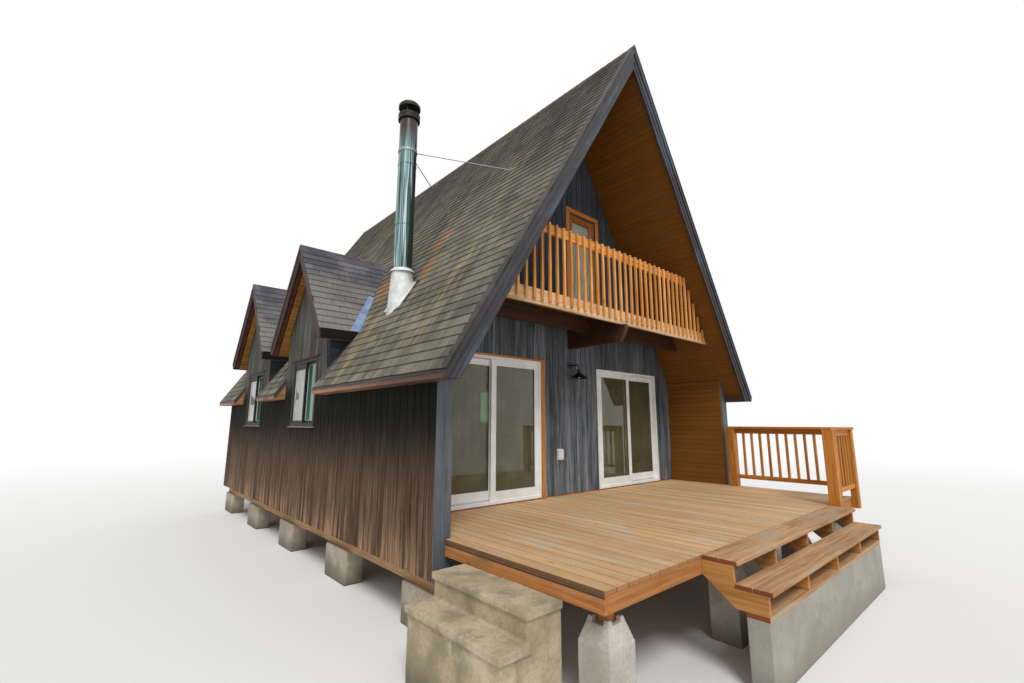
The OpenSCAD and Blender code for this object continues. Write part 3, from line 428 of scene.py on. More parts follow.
# Floors: pine boards laid from the front to the back on the ground floor, and on the loft floor,
# whose underside is the ceiling of the room below.
def lined(names, name, pale, deep, pitch, axis, rough, outside=None, outer=None):
    # Boards drawn on solids that show as they are; outside masks the faces with the outer colour
    def look(place):
        run = place.axis(axis) * (1.0 / pitch)
        number = run.math("FLOOR")
        inside = run - number
        seam = inside.rise(0.0, 0.03) * inside.rise(1.0, 0.97)
        mixed = run.node("TexWhiteNoise", {"noise_dimensions": "1D"}, {"W": number})
        stretch = (5.0, 90.0, 90.0) if axis != "X" else (90.0, 5.0, 90.0)
        rings = (place * stretch + number * 3.7).cloud(0.35, 4.0, 0.6)
        colour = rings.rise(0.33, 0.67).pick(deep, pale) * (0.84 + 0.26 * mixed) * (0.45 + 0.55 * seam)
        if outside:
            colour = outside(place).pick(colour, outer)
        return {"Base Color": colour, "Roughness": rough + 0.1 * rings,
                "Normal": (seam * 2.0 + rings * 0.3).relief(0.002)}
    shown(surface(name, look), *names)


def shown(material, *names):
    for part in names:
        nodes[part].data.materials.clear()
        nodes[part].data.materials.append(material)


lined(["floors"], "floor_pine", "#c29760", "#96683a", 0.14, "X", 0.4)


# Side walls: rough-sawn boards stood upright on the frame, edges bevelled so that a dark groove shows at each
# joint, oiled brown, with a painted shade that makes them almost black up under the eaves and a painted
# sunlit grey up on the dormers.
# Inside, the frame is lined with plain pine.
def clad(boards, at, start, end, foot, top, pitch, openings=(), breaks=()):
    # Upright boards along a wall, cut to the height of top(u) and round the openings
    thick, bevel, gap = 0.012, 0.003, 0.005
    u = start
    while u < end - 0.01:
        last = min(u + pitch, end)
        edges = [u + gap / 2, last - gap / 2]
        inner = [c for o in openings for c in o[:2]] + list(breaks)
        cuts = sorted(set(edges + [c for c in inner if edges[0] < c < edges[1]]))
        boards.fresh()
        for a, b in zip(cuts, cuts[1:]):
            middle = (a + b) / 2
            spans = [[foot, None]]
            for x0, x1, z0, z1 in sorted((o for o in openings if o[0] < middle < o[1]), key=lambda o: o[2]):
                spans = spans[:-1] + [[spans[-1][0], z0], [z1, None]]
            for low, high in spans:
                highs = [top(a), top(b)] if high is None else [high, high]
                if low > max(highs) - 0.005:
                    continue
                lows = [min(low, h) for h in highs]
                corners = [(a, lows[0]), (b, lows[1]), (b, highs[1]), (a, highs[0])]
                ease = [bevel if u0 == edges[0] else (-bevel if u0 == edges[1] else 0.0) for u0, z in corners]
                boards.between([at(u0, z, 0.0) for u0, z in corners],
                               [at(u0 + e, z, thick) for (u0, z), e in zip(corners, ease)],
                               (0, 0, 1), 0.0, True)
        u = last


ridge_z = 8.09
fall = 1.5948                        # of the main roof, in z for each metre of x
wall_x = 3.27                        # outer and inner face of the side walls
inner_x = 3.10
wall_end = 8.18
porch_end = -1.10
siding_z = 0.565
eave_soffit = 2.47
cut_z = 7.821                        # top of the gables, under the roof slabs
dormer_ys = (2.97, 6.08)             # middles of the dormers, and half their width
dormer_half = 0.98
dormer_ridge = 5.07
dormer_fall = 1.32704
dormer_cut_z = 4.915
window_half, low_sill, low_head = 0.56, 2.0, 3.1


def dormer_wall_top(y):
    reach = min(abs(y - c) for c in dormer_ys)
    return dormer_cut_z - dormer_fall * reach if reach < dormer_half else eave_soffit


def siding_look(name, pale, deep, painted_shade_top, foot_pale, gable, split_low, split_high):
    # Boards' stain, bleached below; painted_shade_top darkens them high up as a painted shade under the eaves
    # and porch roof, and gable is a paler colour up on the dormers, a painted sunlit grey on the side walls
    def look(place):
        grain, tint = place.told("grain", 1), place.told("tint")
        rings = (grain * (1.3, 26.0, 26.0)).cloud(1.0, 4.0, 0.62)
        fibre = (grain * (11.0, 380.0, 380.0)).cloud(1.0, 3.0, 0.6)
        wave = grain.node("TexWave", {"wave_profile": "SIN", "bands_direction": "Y"},
                          {"Vector": grain, "Scale": 13.0, "Distortion": 1.2, "Detail Scale": 0.5})
        runs = (grain * (0.5, 9.0, 9.0)).cloud(1.0, 4.0, 0.6)
        colour = (rings * 0.5 + runs * 0.5).rise(0.35, 0.65).pick(deep, pale)
        height = place.axis("Z") + (runs - 0.5) * 0.8 + (tint - 0.5) * 0.2
        # Painted shade: darker high up, where the eaves and the porch roof shade the wall
        colour = height.rise(split_low, split_high).pick(colour, painted_shade_top)
        colour = (runs.rise(0.42, 0.66) * height.rise(split_low, siding_z)).pick(colour, foot_pale)
        # A paler colour up high: on the side walls' dormers it is a painted sunlit grey
        colour = place.axis("Z").rise(2.45, 2.95).pick(colour, rings.pick(gable, colour))
        char = (grain * (2.2, 60.0, 60.0)).cloud(1.0, 4.0, 0.65).rise(0.58, 0.40)
        colour = colour * (1.0 - 0.42 * char)
        colour = colour * (0.78 + 0.30 * wave) * (0.84 + 0.32 * fibre) * (0.78 + 0.44 * tint)
        return {"Base Color": colour, "Roughness": 0.66 + 0.22 * rings,
                "Normal": (wave * 0.7 + fibre * 0.6 + rings * 0.4).relief(0.0022)}
    return surface(name, look, Specular_IOR_Level=0.07)


side_boards = Boards(21)
side_openings = [(c - window_half, c + window_half, low_sill, low_head) for c in dormer_ys]
dormer_breaks = [c + d for c in dormer_ys for d in (-dormer_half, 0.0, dormer_half)]
for sign in (-1, 1):
    clad(side_boards, lambda u, z, d, s=sign: (s * (wall_x - 0.001 + d), u, z), porch_end, wall_end,
         siding_z, dormer_wall_top, 0.152, side_openings, dormer_breaks)
# The side walls' top colour is a painted shade under the eaves, and their gable colour a painted sunlit grey
# on the dormers
side_boards.fit("side_wall_boards", siding_look("brown_siding", "#826855", "#4b3b30", "#1b1c17", "#be9877",
                                                "#85827a", 1.15, 2.15), "siding_brown")
wall_pine = "#c69b63", "#9a6c3c"
near_x2, outer_x2 = (wall_x - 0.02) ** 2, (wall_x - 0.01) ** 2
lined(["side_walls"], "wall_pine", *wall_pine, 0.12, "Y", 0.5,
      lambda place: (place.axis("X") * place.axis("X")).rise(near_x2, outer_x2), "#181410")


# Rear wall: the same upright boards in the blue-black stain of the front, with two windows below
# and one in the gable.
def gable_top(x):
    return cut_z - fall * abs(x)


rear_windows = ((-1.55, window_half, low_sill, low_head), (1.55, window_half, low_sill, low_head),
                (0.0, 0.40, 4.44, 5.54))
# Darker above 3.5 m: a painted shade under the porch roof and the balcony
slate_siding = siding_look("slate_siding", "#868e97", "#484e55", "#272b34", "#8f9296", "#666a70", 3.5, 4.2)
back_boards = Boards(22)
clad(back_boards, lambda u, z, d: (u, wall_end - 0.001 + d, z), -inner_x, inner_x, siding_z, gable_top, 0.14,
     [(x - half, x + half, z0, z1) for x, half, z0, z1 in rear_windows], [0.0])
back_boards.fit("rear_wall_boards", slate_siding, "siding_dark")
lined(["rear_wall"], "rear_pine", *wall_pine, 0.12, "X", 0.5,
      lambda place: place.axis("Y").rise(wall_end - 0.02, wall_end - 0.01), "#16181b")


# Front wall: upright boards in blue-black stain beside, between and over the patio doors, with
# the balcony's doorway cut through the gable above.
front_boards = Boards(23)
door_x0, door_x1, door_head = 0.70, 2.59, 3.005
leaf_x0, leaf_x1, leaf_z0, leaf_z1 = 0.062, 0.782, 3.74, 5.77
front_openings = [(-door_x1, -door_x0, 0.90, door_head), (door_x0, door_x1, 0.90, door_head),
                  (leaf_x0, leaf_x1, leaf_z0, leaf_z1)]
clad(front_boards, lambda u, z, d: (u, 0.001 - d, z), -inner_x + 0.019, inner_x - 0.019, 0.965,
     lambda x: gable_top(x) - 0.038, 0.14, front_openings, [0.0])
front_boards.fit("front_wall_boards", slate_siding, "siding_dark")
lined(["front_wall", "front_gable_wall"], "front_pine", *wall_pine, 0.12, "X", 0.5,
      lambda place: place.axis("Y").rise(0.02, 0.01), "#16181b")


# Corner boards: flat painted boards that cover the ends of the side walls, blue-grey and soft
# at their edges, cut round the boxed eaves.
corner_paint = timber("corner_paint", "#656b73", "#4b5159", "#3f4247", 0.25, rough=0.5, vary=0.15)
whole("corner_board_set", "corner_boards", 24, corner_paint, "siding_blue_grey", along=(0, 0, 1))


# Roof slopes: asphalt shingle tabs nailed in courses over boarding, each course lapped by the one above,
# weathered grey-brown, with moss in the shaded parts and needles washed down the slope. Pale streaks down the
# slope are partly lichen and partly painted sunlight, and a painted shade darkens each lap and the upper
# roof.
def new_tree(name, sizes):
    # A geometry tree; gives back its inputs by name: the points, these lengths and the finish
    tree = bpy.data.node_groups.new(name, "GeometryNodeTree")
    sockets = [("Geometry", "INPUT", "Geometry"), *[(size, "INPUT", "Float") for size in sizes],
               ("Finish", "INPUT", "Material"), ("Geometry", "OUTPUT", "Geometry")]
    for socket, side, kind in sockets:
        tree.interface.new_socket(socket, in_out=side, socket_type="NodeSocket" + kind)
    given = tree.nodes.new("NodeGroupInput").outputs
    return {socket.name: Tone(tree, socket) for socket in given}


def ended(spread, finish):
    # The tree whose instances are made into one mesh with its finish
    real = spread.node("GeometryNodeRealizeInstances", {}, {"Geometry": spread})
    done = spread.node("GeometryNodeSetMaterial", {}, {"Geometry": real, "Material": finish})
    done.feed(done.tree.nodes.new("NodeGroupOutput"), {"Geometry": done})
    return done.tree


def tab_tree():
    given = new_tree("shingle_tabs", ("Tab width", "Tab height", "Butt", "Play"))
    spots, height, butt = given["Geometry"], given["Tab height"], given["Butt"]
    block = spots.node("GeometryNodeMeshCube", {}, {"Size": spots.vector(given["Tab width"], height, butt),
                                                    "Vertices X": 2})
    reach = spots.node("GeometryNodeInputPosition").axis("Y")
    store, chances = "GeometryNodeStoreNamedAttribute", "FunctionNodeRandomValue"
    tab = spots.node(store, {"data_type": "FLOAT"}, {"Geometry": block, "Name": "reach", "Value": reach})
    wide = spots.node("GeometryNodeInputNamedAttribute", {"data_type": "FLOAT"}, {"Name": "wide"})
    loose = spots.node(chances, {"data_type": "FLOAT"}, {"Min": -1.0, "Max": 1.0, "Seed": 3}, "Value")
    lean = butt / height * -1.0
    tabs = spots.node("GeometryNodeInstanceOnPoints", {}, {
        "Points": spots, "Instance": tab, "Rotation": spots.vector(lean, 0.0, loose * given["Play"]),
        "Scale": spots.vector(wide, 1.0, 1.0)})
    shade = spots.node(chances, {"data_type": "FLOAT"}, {"Min": 0.0, "Max": 1.0, "Seed": 8}, "Value")
    tinted = spots.node(store, {"data_type": "FLOAT", "domain": "INSTANCE"},
                        {"Geometry": tabs, "Name": "tint", "Value": shade})
    return ended(tinted, given["Finish"])


def spread(spots, tree, sizes):
    # Runs the tree on a cloud of points, of which tabs have a width too, and gives back a plain mesh
    cloud = bpy.data.meshes.new("spots")
    cloud.from_pydata([spot[:3] for spot in spots], [], [])
    if len(spots[0]) > 3:
        cloud.attributes.new("wide", "FLOAT", "POINT").data.foreach_set("value", [spot[3] for spot in spots])
    maker = put("spots", cloud)
    layer = maker.modifiers.new("tree", "NODES")
    layer.node_group = tree
    for item in tree.interface.items_tree:
        if item.in_out == "INPUT" and item.name in sizes:
            layer[item.identifier] = sizes[item.name]
    return grown(maker)


def laid(mesh, along, up_slope, out_slope, foot):
    # A copy of a mesh that was made flat, laid on a slope
    laid_mesh = mesh.copy()
    turn = turned_to(along, up_slope, out_slope)
    laid_mesh.transform(Matrix.Translation(foot) @ turn)
    if turn.determinant() < 0:
        laid_mesh.flip_normals()
    return laid_mesh


def shingle_look(name, pale, deep, flow, age, foot=None):
    # flow draws the stains and the pale streaks out down the slope; age is the share of moss, of pale streaks
    # that are partly lichen and partly painted sunlight, and of needles; foot gives the heights between which
    # a paler colour comes in down the slope, and that colour
    def look(place):
        tint, reach = place.told("tint"), place.told("reach")
        patch = place.cloud(1.5, 5.0, 0.62, 0.4)
        run = (place * flow).cloud(1.0, 5.0, 0.66)
        fine_run = (place * flow).cloud(4.1, 3.0, 0.6)
        grit = place.cloud(310.0, 2.0, 0.7)
        speck = place.cells(150.0).rise(0.02, 0.30)
        high = place.axis("Z").rise(4.6, 7.4)
        colour = (tint * 0.2 + patch * 0.8).rise(0.3, 0.7).pick(deep, pale)
        # Pale gold streaks down the slope: partly lichen, partly painted sunlight falling through the trees
        colour = (run.rise(0.50, 0.64) * fine_run.rise(0.40, 0.60) * (0.62 * age)).pick(colour, "#a3936b")
        colour = (run.rise(0.47, 0.36) * (0.70 * age)).pick(colour, "#4b4e3a")
        if foot:
            sunk = place.axis("Z").rise(foot[0], foot[1]) * place.cloud(1.9, 4.0, 0.6).rise(0.30, 0.58)
            colour = sunk.pick(colour, foot[2])
        # Needles gather in heaps round the chimney and in the valley behind it
        heap = [place.node("VectorMath", {"operation": "DISTANCE"}, {0: place * (1.0, 1.6, 1.0), 1: spot}, 1)
                for spot in ((-2.33, 3.30, 4.37), (-2.32, 1.18, 4.39), (-1.95, 1.50, 4.98))]
        heap = heap[0].least((heap[1] + 0.12).least(heap[2] + 0.08))
        needles = (place * (40.0, 170.0, 60.0)).cloud(1.0, 2.0, 0.7)
        drift = place.cloud(7.5, 6.0, 0.74)
        litter = (heap + drift * 1.3).rise(1.12, 0.86) * needles.rise(0.34, 0.56)
        litter = litter.most((run * 0.6 + drift * 0.4).rise(0.57, 0.66) * needles.rise(0.42, 0.54) * 0.75)
        rust = (needles * 0.6 + patch * 0.4).rise(0.4, 0.6).pick("#9d633c", "#b98d63")
        colour = (litter * age).pick(colour, rust)
        colour = colour * (0.74 + 0.5 * grit) * (0.80 + 0.2 * speck)
        # Painted shade: the upper roof is made darker
        colour = colour * (0.95 + 0.10 * tint) * (1.0 - 0.50 * high)
        # Painted shade, partly dirt: dark at the tab's own cut edge and under the lap of the next course
        colour = colour * (0.55 + 0.45 * reach.rise(-0.0855, -0.078))
        colour = colour * (0.50 + 0.50 * reach.rise(0.054, 0.028))
        return {"Base Color": colour, "Roughness": 0.84 + 0.12 * grit,
                "Normal": (grit * 1.0 + speck * 0.5).relief(0.0035)}
    return surface(name, look, Specular_IOR_Level=0.25)


course = 0.142
tab_w = 0.305
roof_x, roof_eave_z = 3.46, 2.572    # the slopes' lower edge
roof_y0, roof_y1 = -1.465, 8.54
roof_tilt = math.atan(fall)
roof_cos, roof_sin = math.cos(roof_tilt), math.sin(roof_tilt)
dormer_eave_y = 1.23                 # half the width of a dormer's roof
shingles = shingle_look("weathered_shingles", "#7f7a6c", "#5d5a51", (0.55, 4.6, 0.35), 1.0)
roof_tree = tab_tree()
tab_sizes = {"Tab width": tab_w - 0.006, "Tab height": course + 0.03, "Butt": 0.009, "Play": 0.006}
chance = random.Random(31)


def rows_of(spans_at, high):
    # The middle and the width of every tab, course by course, between the ends that spans_at gives
    spots = []
    row = 0
    up = 0.0
    while up < high - 0.02:
        for left, right in spans_at(up + course / 2):
            u = left - 0.5 * tab_w * (row % 2)
            while u < right:
                a, b = max(u, left), min(u + tab_w, right)
                if b - a > 0.03:
                    middle = min(up + course / 2, high - course / 2 - 0.02) + chance.uniform(-0.003, 0.003)
                    spots.append(((a + b) / 2, middle, 0.0045, (b - a) / tab_w))
                u += tab_w
        up += course
        row += 1
    return spots


def main_spans(up):
    # Ends of a course at this distance up the slope, between the dormers
    z = roof_eave_z + up * roof_sin
    half = max(min(dormer_eave_y, (dormer_ridge - z) / dormer_fall), 0.0)
    if z < roof_eave_z + 0.108:
        half = 1.0
    ends = [roof_y0 + 0.007]
    for c in dormer_ys:
        if half > 0.0:
            ends += [c - half + 0.03, c + half - 0.03]
    ends.append(roof_y1 - 0.007)
    return [(a, b) for a, b in zip(ends[::2], ends[1::2]) if b > a]


pipe_x, pipe_y = -2.62, 1.0
slope_mesh = spread(rows_of(main_spans, math.hypot(roof_x, roof_x * fall)), roof_tree,
                    {**tab_sizes, "Finish": shingles})
for sign, part in ((-1, "left_roof"), (1, "right_roof")):
    mesh = laid(slope_mesh, (0, 1, 0), (-sign * roof_cos, 0, roof_sin), (sign * roof_sin, 0, roof_cos),
                (sign * roof_x, 0.0, roof_eave_z))
    if sign < 0:
        solid = solid_of(mesh)
        gone = [v for v in solid.verts if math.hypot(v.co.x - pipe_x, v.co.y - pipe_y) < 0.13]
        bmesh.ops.delete(solid, geom=gone, context="VERTS")
        mesh = mesh_of(solid, part)
    fitted(part + "_shingles", mesh, shingles, "shingles")


# Ridge: short caps cut from the same asphalt shingle, bent over the top of the roof and nailed,
# each lapping the one in front.
ridge_caps = Boards(32)
y = -1.46
while y < 8.40:
    step = chance.uniform(-0.004, 0.004)
    side_z = ridge_z - 0.115 * fall + 0.012
    outline = [(-0.115, side_z + step), (0.0, ridge_z + 0.016), (0.115, side_z - step)]
    near = [(x, y, z) for x, z in outline + [(x, z - 0.005) for x, z in outline[::-1]]]
    ridge_caps.between(near, [(x, y + 0.19, z - 0.006) for x, near_y, z in near], (0, 1, 0), 0.0)
    y += course
ridge_caps.fit("ridge_caps", shingles, "shingles")


# Roof boarding: the pine sheathing that the shingles are nailed to, bare on the inside and dark
# at the roof's edges.
def sheathing_top(place):
    return (place.axis("X").math("ABSOLUTE") * fall + place.axis("Z")).rise(ridge_z - 0.15, ridge_z - 0.10)


lined(["left_roof", "right_roof"], "roof_boarding", "#bd9058", "#8d6135", 0.14, "Y", 0.6,
      sheathing_top, "#3b3833")


# Porch lining: tongue-and-groove cedar boards under the overhanging roof and on the inner faces
# of the wing walls, clear-coated, with a pale batten where the slope meets the wall.
lining_wood = timber("lining_cedar", "#85551b", "#6c420f", knots=0.25, rough=0.5, vary=0.12, calm=0.22)
lining_z = ridge_z - 0.2635          # of the lining's back, at the ridge
wing_y = -1.12                       # front end of the wing walls
lining = Boards(33)
for sign in (-1, 1):
    board = 0.0
    while board * roof_cos <= wall_x - 0.01:
        a, x1 = board * roof_cos + 0.001, min((board + 0.0885) * roof_cos, wall_x) - 0.001
        for y0, y1, last in ((roof_y0, wing_y, wall_x), (wing_y, 0.0, inner_x)):
            b = min(x1, last)
            if b - a > 0.01:
                shape = [(sign * x, lining_z - fall * x - h)
                         for x, h in ((a, 0.0002), (b, 0.0002), (b, 0.019), (a, 0.019))]
                lining.drawn(shape, y0, y1, ease=0.0045, same=y0 == wing_y)
        board += 0.09
    for k in range(22):
        z0 = 0.941 + 0.09 * k
        lining.box(sign * 3.081, sign * 3.0998, porch_end, -0.001, z0, min(z0 + 0.0885, 2.885),
                   (0, 1, 0), 0.0045)
    lining.box(sign * 3.056, sign * 3.081, -1.09, -0.02, 2.80, 2.87, (0, 1, 0))
lining.fit("porch_lining_boards", lining_wood, "cedar_lining", "porch_lining")


# Rakes: a deep dark-stained board along each gable edge, a narrower one and a moulding nailed on
# its face, and a thin metal drip edge bent over the shingles' ends.
def mottled(name, first, second, scale, rough, detail=4.0, span=(0.3, 0.7), **fixed):
    # A plain material in two colours; rough is its roughness, or gives it for a place
    return surface(name, lambda place: {
        "Base Color": place.cloud(scale, detail).rise(*span).pick(first, second),
        "Roughness": rough(place) if callable(rough) else rough}, **fixed)


# The blue-grey weather patches of the rakes are partly a painted sheen of the sky on the dark stain
rake_wood = timber("rake_stain_and_sheen", "#3f3c41", "#252428", "#44525f", 0.30, rough=0.42, vary=0.15, specular=0.35)
drip_metal = mottled("drip_edge_metal", "#2d2b29", "#4a4743", 3.0,
                     lambda place: 0.38 + 0.25 * place.cloud(11.0, 4.0), span=(0.35, 0.7), Metallic=0.7)
rakes = Boards(41)
drips = Boards(42)
rake_x = 3.48


def rake_strip(boards, y0, y1, over, under, ease=0.003):
    # A strip along the slope between two heights measured square to it, cut off level at the foot
    top, low = [ridge_z - depth / roof_cos for depth in (over, under)]
    ends = [(min(rake_x, (z - eave_soffit) / fall), max(eave_soffit, z - fall * rake_x)) for z in (top, low)]
    if ends[0][1] > ends[1][1] == eave_soffit:
        ends.insert(1, (rake_x, eave_soffit))
    boards.drawn([(sign * x, z) for x, z in [(0.0, top), *ends, (0.0, low)]], y0, y1,
                 (sign * roof_cos, 0, -roof_sin), ease)


for sign in (-1, 1):
    for inner, way in ((roof_y0, -1), (roof_y1, 1)):
        ys = [inner + way * d for d in (0.0, 0.026, 0.038, 0.058, 0.062, 0.064)]
        rake_strip(rakes, ys[0], ys[1], 0.0, 0.210)
        rake_strip(rakes, ys[1], ys[2], 0.0, 0.145)
        rake_strip(rakes, ys[2], ys[3], 0.004, 0.070, 0.004)
        rake_strip(drips, inner - way * 0.04, ys[5], -0.012, -0.009, 0.0)
        rake_strip(drips, ys[4], ys[5], -0.009, 0.016, 0.0)
rakes.fit("rake_boards", rake_wood, "rake_boards", "rakes")
drips.fit("rake_drip_edges", drip_metal, "pale_metal")


# Eaves: boxed with a reddish-brown fascia and a soffit board between the dormers, under a narrow
# metal drip edge.
eave_wood = timber("eave_cedar", "#b07f5e", "#8a5d40", "#6d4c39", 0.25, rough=0.5, calm=0.1,
                   fade=("Y", 1.7, -0.9, "#573f31"))
eaves = Boards(43)
eave_drips = Boards(44)
over_z = ridge_z - fall * 3.455
for sign in (-1, 1):
    for y0, y1 in ((roof_y0, 1.99), (3.95, 5.10), (7.06, roof_y1)):
        eaves.box(sign * roof_x, sign * rake_x, y0, y1, eave_soffit, 2.545, (0, 1, 0))
        eaves.box(sign * 3.272, sign * 3.459, y0, y1, eave_soffit, 2.489, (0, 1, 0))
        shape = (roof_x, 2.489), (3.272, 2.489), (3.272, 2.60), (3.345, 2.49)
        eaves.drawn([(sign * x, z) for x, z in shape], y0 + 0.001, y1 - 0.001, ease=0.0)
        shape = ((3.455, over_z + 0.003), (3.4865, 2.534), (3.4865, 2.522), (3.4845, 2.522), (3.4845, 2.532),
                 (3.455, over_z + 0.0005))
        eave_drips.drawn([(sign * x, z) for x, z in shape], y0, y1, ease=0.0)
eaves.fit("eave_boards", eave_wood, "cedar_trim", "eave_trim")
eave_drips.fit("eave_drip_edges", drip_metal, "pale_metal")


# Dormer roofs: small gable roofs with the same shingles in finer courses, their boarding shown at
# the underside, and a pale metal strip in the valleys where they meet the main slope.
dormer_tilt = math.atan(dormer_fall)
dormer_cos, dormer_sin = math.cos(dormer_tilt), math.sin(dormer_tilt)
dormer_front = 3.50
dormer_foot_z = dormer_ridge - dormer_fall * dormer_eave_y
dormer_sides = [(sign, c, way) for sign in (-1, 1) for c in dormer_ys for way in (-1, 1)]
valley_metal = mottled("valley_metal", "#6d7fa6", "#98a9cc", 4.0,
                       lambda place: 0.35 + 0.25 * place.cloud(12.0, 4.0), Metallic=0.2)
valleys = Boards(45)
dormer_caps = Boards(46)


def slope_x(z):
    # How far out the main slope lies at this height
    return (ridge_z - z) / fall


def to_dormer(place):
    # How far the middle of the nearest dormer is, along the wall
    near = [(place.axis("Y") - c).math("ABSOLUTE") for c in dormer_ys]
    return near[0].least(near[1])


dormer_slates = shingle_look("dormer_shingle_grit", "#737177", "#515058", (3.4, 0.6, 0.5), 0.18,
                             (4.80, 3.9, "#87857d"))
dormer_rows = rows_of(lambda up: [(slope_x(dormer_foot_z + up * dormer_sin) + 0.005, dormer_front + 0.030)],
                      math.hypot(dormer_eave_y, dormer_eave_y * dormer_fall))
dormer_mesh = spread(dormer_rows, roof_tree, {**tab_sizes, "Butt": 0.007, "Finish": dormer_slates})
solid = bmesh.new()
for sign, c, way in dormer_sides:
    out_slope = Vector((0.0, way * dormer_sin, dormer_cos))
    solid.from_mesh(laid(dormer_mesh, (sign, 0, 0), (0, -way * dormer_cos, dormer_sin), out_slope,
                         (0.0, c + way * dormer_eave_y, dormer_foot_z)))
    foot = Vector((sign * slope_x(dormer_foot_z), c + way * dormer_eave_y, dormer_foot_z))
    head = Vector((sign * slope_x(dormer_ridge), c, dormer_ridge))
    middle = foot + (head - foot) * 0.46
    aside, out = Vector((0, way * 0.05, 0)), Vector((sign, 0, 0))
    lift = Vector((sign * roof_sin, 0, roof_cos)) * 0.012
    valleys.slab([foot + lift, foot + aside + lift, middle + aside + lift, middle + lift],
                 lift * 0.2, head - foot, 0.0)
    lift = out_slope * 0.013
    valleys.slab([foot + lift, foot + out * 0.15 + lift, middle + out * 0.10 + lift, middle + lift],
                 lift * 0.2, head - foot, 0.0)
for sign, c, way in dormer_sides[::2]:
    x = slope_x(dormer_ridge) - 0.05
    while x < dormer_front - 0.02:
        end = min(x + 0.19, dormer_front + 0.03)
        side_z = dormer_ridge - 0.10 * dormer_fall + 0.010
        ridge = [(-0.10, side_z), (0.0, dormer_ridge + 0.012), (0.10, side_z)]
        near = [(sign * x, c + u, z - 0.003) for u, z in ridge + [(u, z - 0.004) for u, z in ridge[::-1]]]
        dormer_caps.between(near, [(sign * end, b, z + 0.002) for a, b, z in near], (1, 0, 0), 0.0)
        x += course
fitted("dormer_shingles", mesh_of(solid, "dormer_shingles"), dormer_slates, "shingles")
dormer_caps.fit("dormer_ridge_caps", dormer_slates, "shingles")
valleys.fit("valley_flashing", valley_metal, "pale_metal")
low_z, felt_z = dormer_ridge - 0.12, dormer_ridge - 0.07
lined(["dormer_roofs"], "dormer_boarding", "#8d6a3d", "#624522", 0.12, "Y", 0.6,
      lambda place: (to_dormer(place) * dormer_fall + place.axis("Z")).rise(low_z, felt_z), "#34312c")


# Dormer cheeks: the triangular side walls of each dormer, boarded level in blue-grey stain.
cheek_stain = timber("cheek_stain", "#3f4d5a", "#28323b", "#55636f", 0.2, rough=0.5)
cheeks = Boards(47)
cheek_top = dormer_cut_z - dormer_fall * dormer_half
cheek_x = 3.262
crossing = ridge_z - fall * cheek_x
for sign, c, way in dormer_sides:
    z = 2.50
    while z < cheek_top - 0.01:
        high = min(z + 0.14, cheek_top)
        low_x, high_x = slope_x(z + 0.003) + 0.004, slope_x(high) + 0.004
        outline = [(cheek_x, high - 0.002), (high_x, high - 0.002)]
        if low_x < cheek_x - 0.007:
            outline = [(low_x, z + 0.002), (cheek_x, z + 0.002)] + outline
        else:
            outline = [(cheek_x, crossing)] + outline
        if low_x < cheek_x - 0.007 or high - 0.01 >= crossing:
            cheeks.slab([(sign * x, c + way * 0.981, height) for x, height in outline], (0, way * 0.011, 0),
                        (1, 0, 0), 0.002)
        z = high
cheeks.fit("cheek_boards", cheek_stain, "siding_blue_grey")
lined(["dormer_cheeks"], "cheek_lining", *wall_pine, 0.12, "X", 0.5,
      lambda place: to_dormer(place).rise(0.96, 0.97), "#2b3135")


# Dormer rakes and eaves: a brown face board cut off level at its feet with a maroon board on its back, a
# black board that paints the shade of the gap under it and an orange soffit of short boards behind it, and
# black level eaves.
trim_wood = timber("dormer_trim_wood", "#442a1f", "#291812", "#3a332e", 0.2, rough=0.5, vary=0.15)
# Black stain, which also paints the shade in the gap behind the dormer rakes
eave_black = timber("dormer_eave_stain_and_shade", "#1d1817", "#100d0d", rough=0.5, vary=0.1, specular=0.15)
rake_back_wood = timber("dormer_rake_back_stain", "#7a5040", "#553329", rough=0.55, vary=0.1)
soffit_wood = timber("dormer_soffit_wood", "#b27c34", "#8a5620", rough=0.5)
trims = Boards(48)
soffits = Boards(49)
trim_drips = Boards(50)
gap_boards = Boards(40)
rake_backs = Boards(39)
soffit_z = dormer_ridge - 0.1495     # of the dormer roof's underside, at its ridge
foot_z = soffit_z - dormer_fall * dormer_eave_y
rake_end = 1.25


def dormer_board(boards, shape, x0, x1, along=(1, 0, 0), ease=0.0015):
    # A board on this side of the dormer with one section all the way from x0 to x1
    boards.slab([(sign * x0, c + way * u, z) for u, z in shape], (sign * (x1 - x0), 0, 0), along, ease)


def dormer_rake(boards, x0, x1, over, under, low, ease=0.003):
    # A strip along the dormer's slope between two heights under its ridge, cut off level
    top, bottom = dormer_ridge - over, dormer_ridge - under
    end_z = top - dormer_fall * rake_end
    ends = [((top - low) / dormer_fall, low)] if end_z < low else [(rake_end, end_z), (rake_end, low)]
    dormer_board(boards, [(0.0, top), *ends, ((bottom - low) / dormer_fall, low), (0.0, bottom)], x0, x1,
                 (0, way * dormer_cos, -dormer_sin), ease)


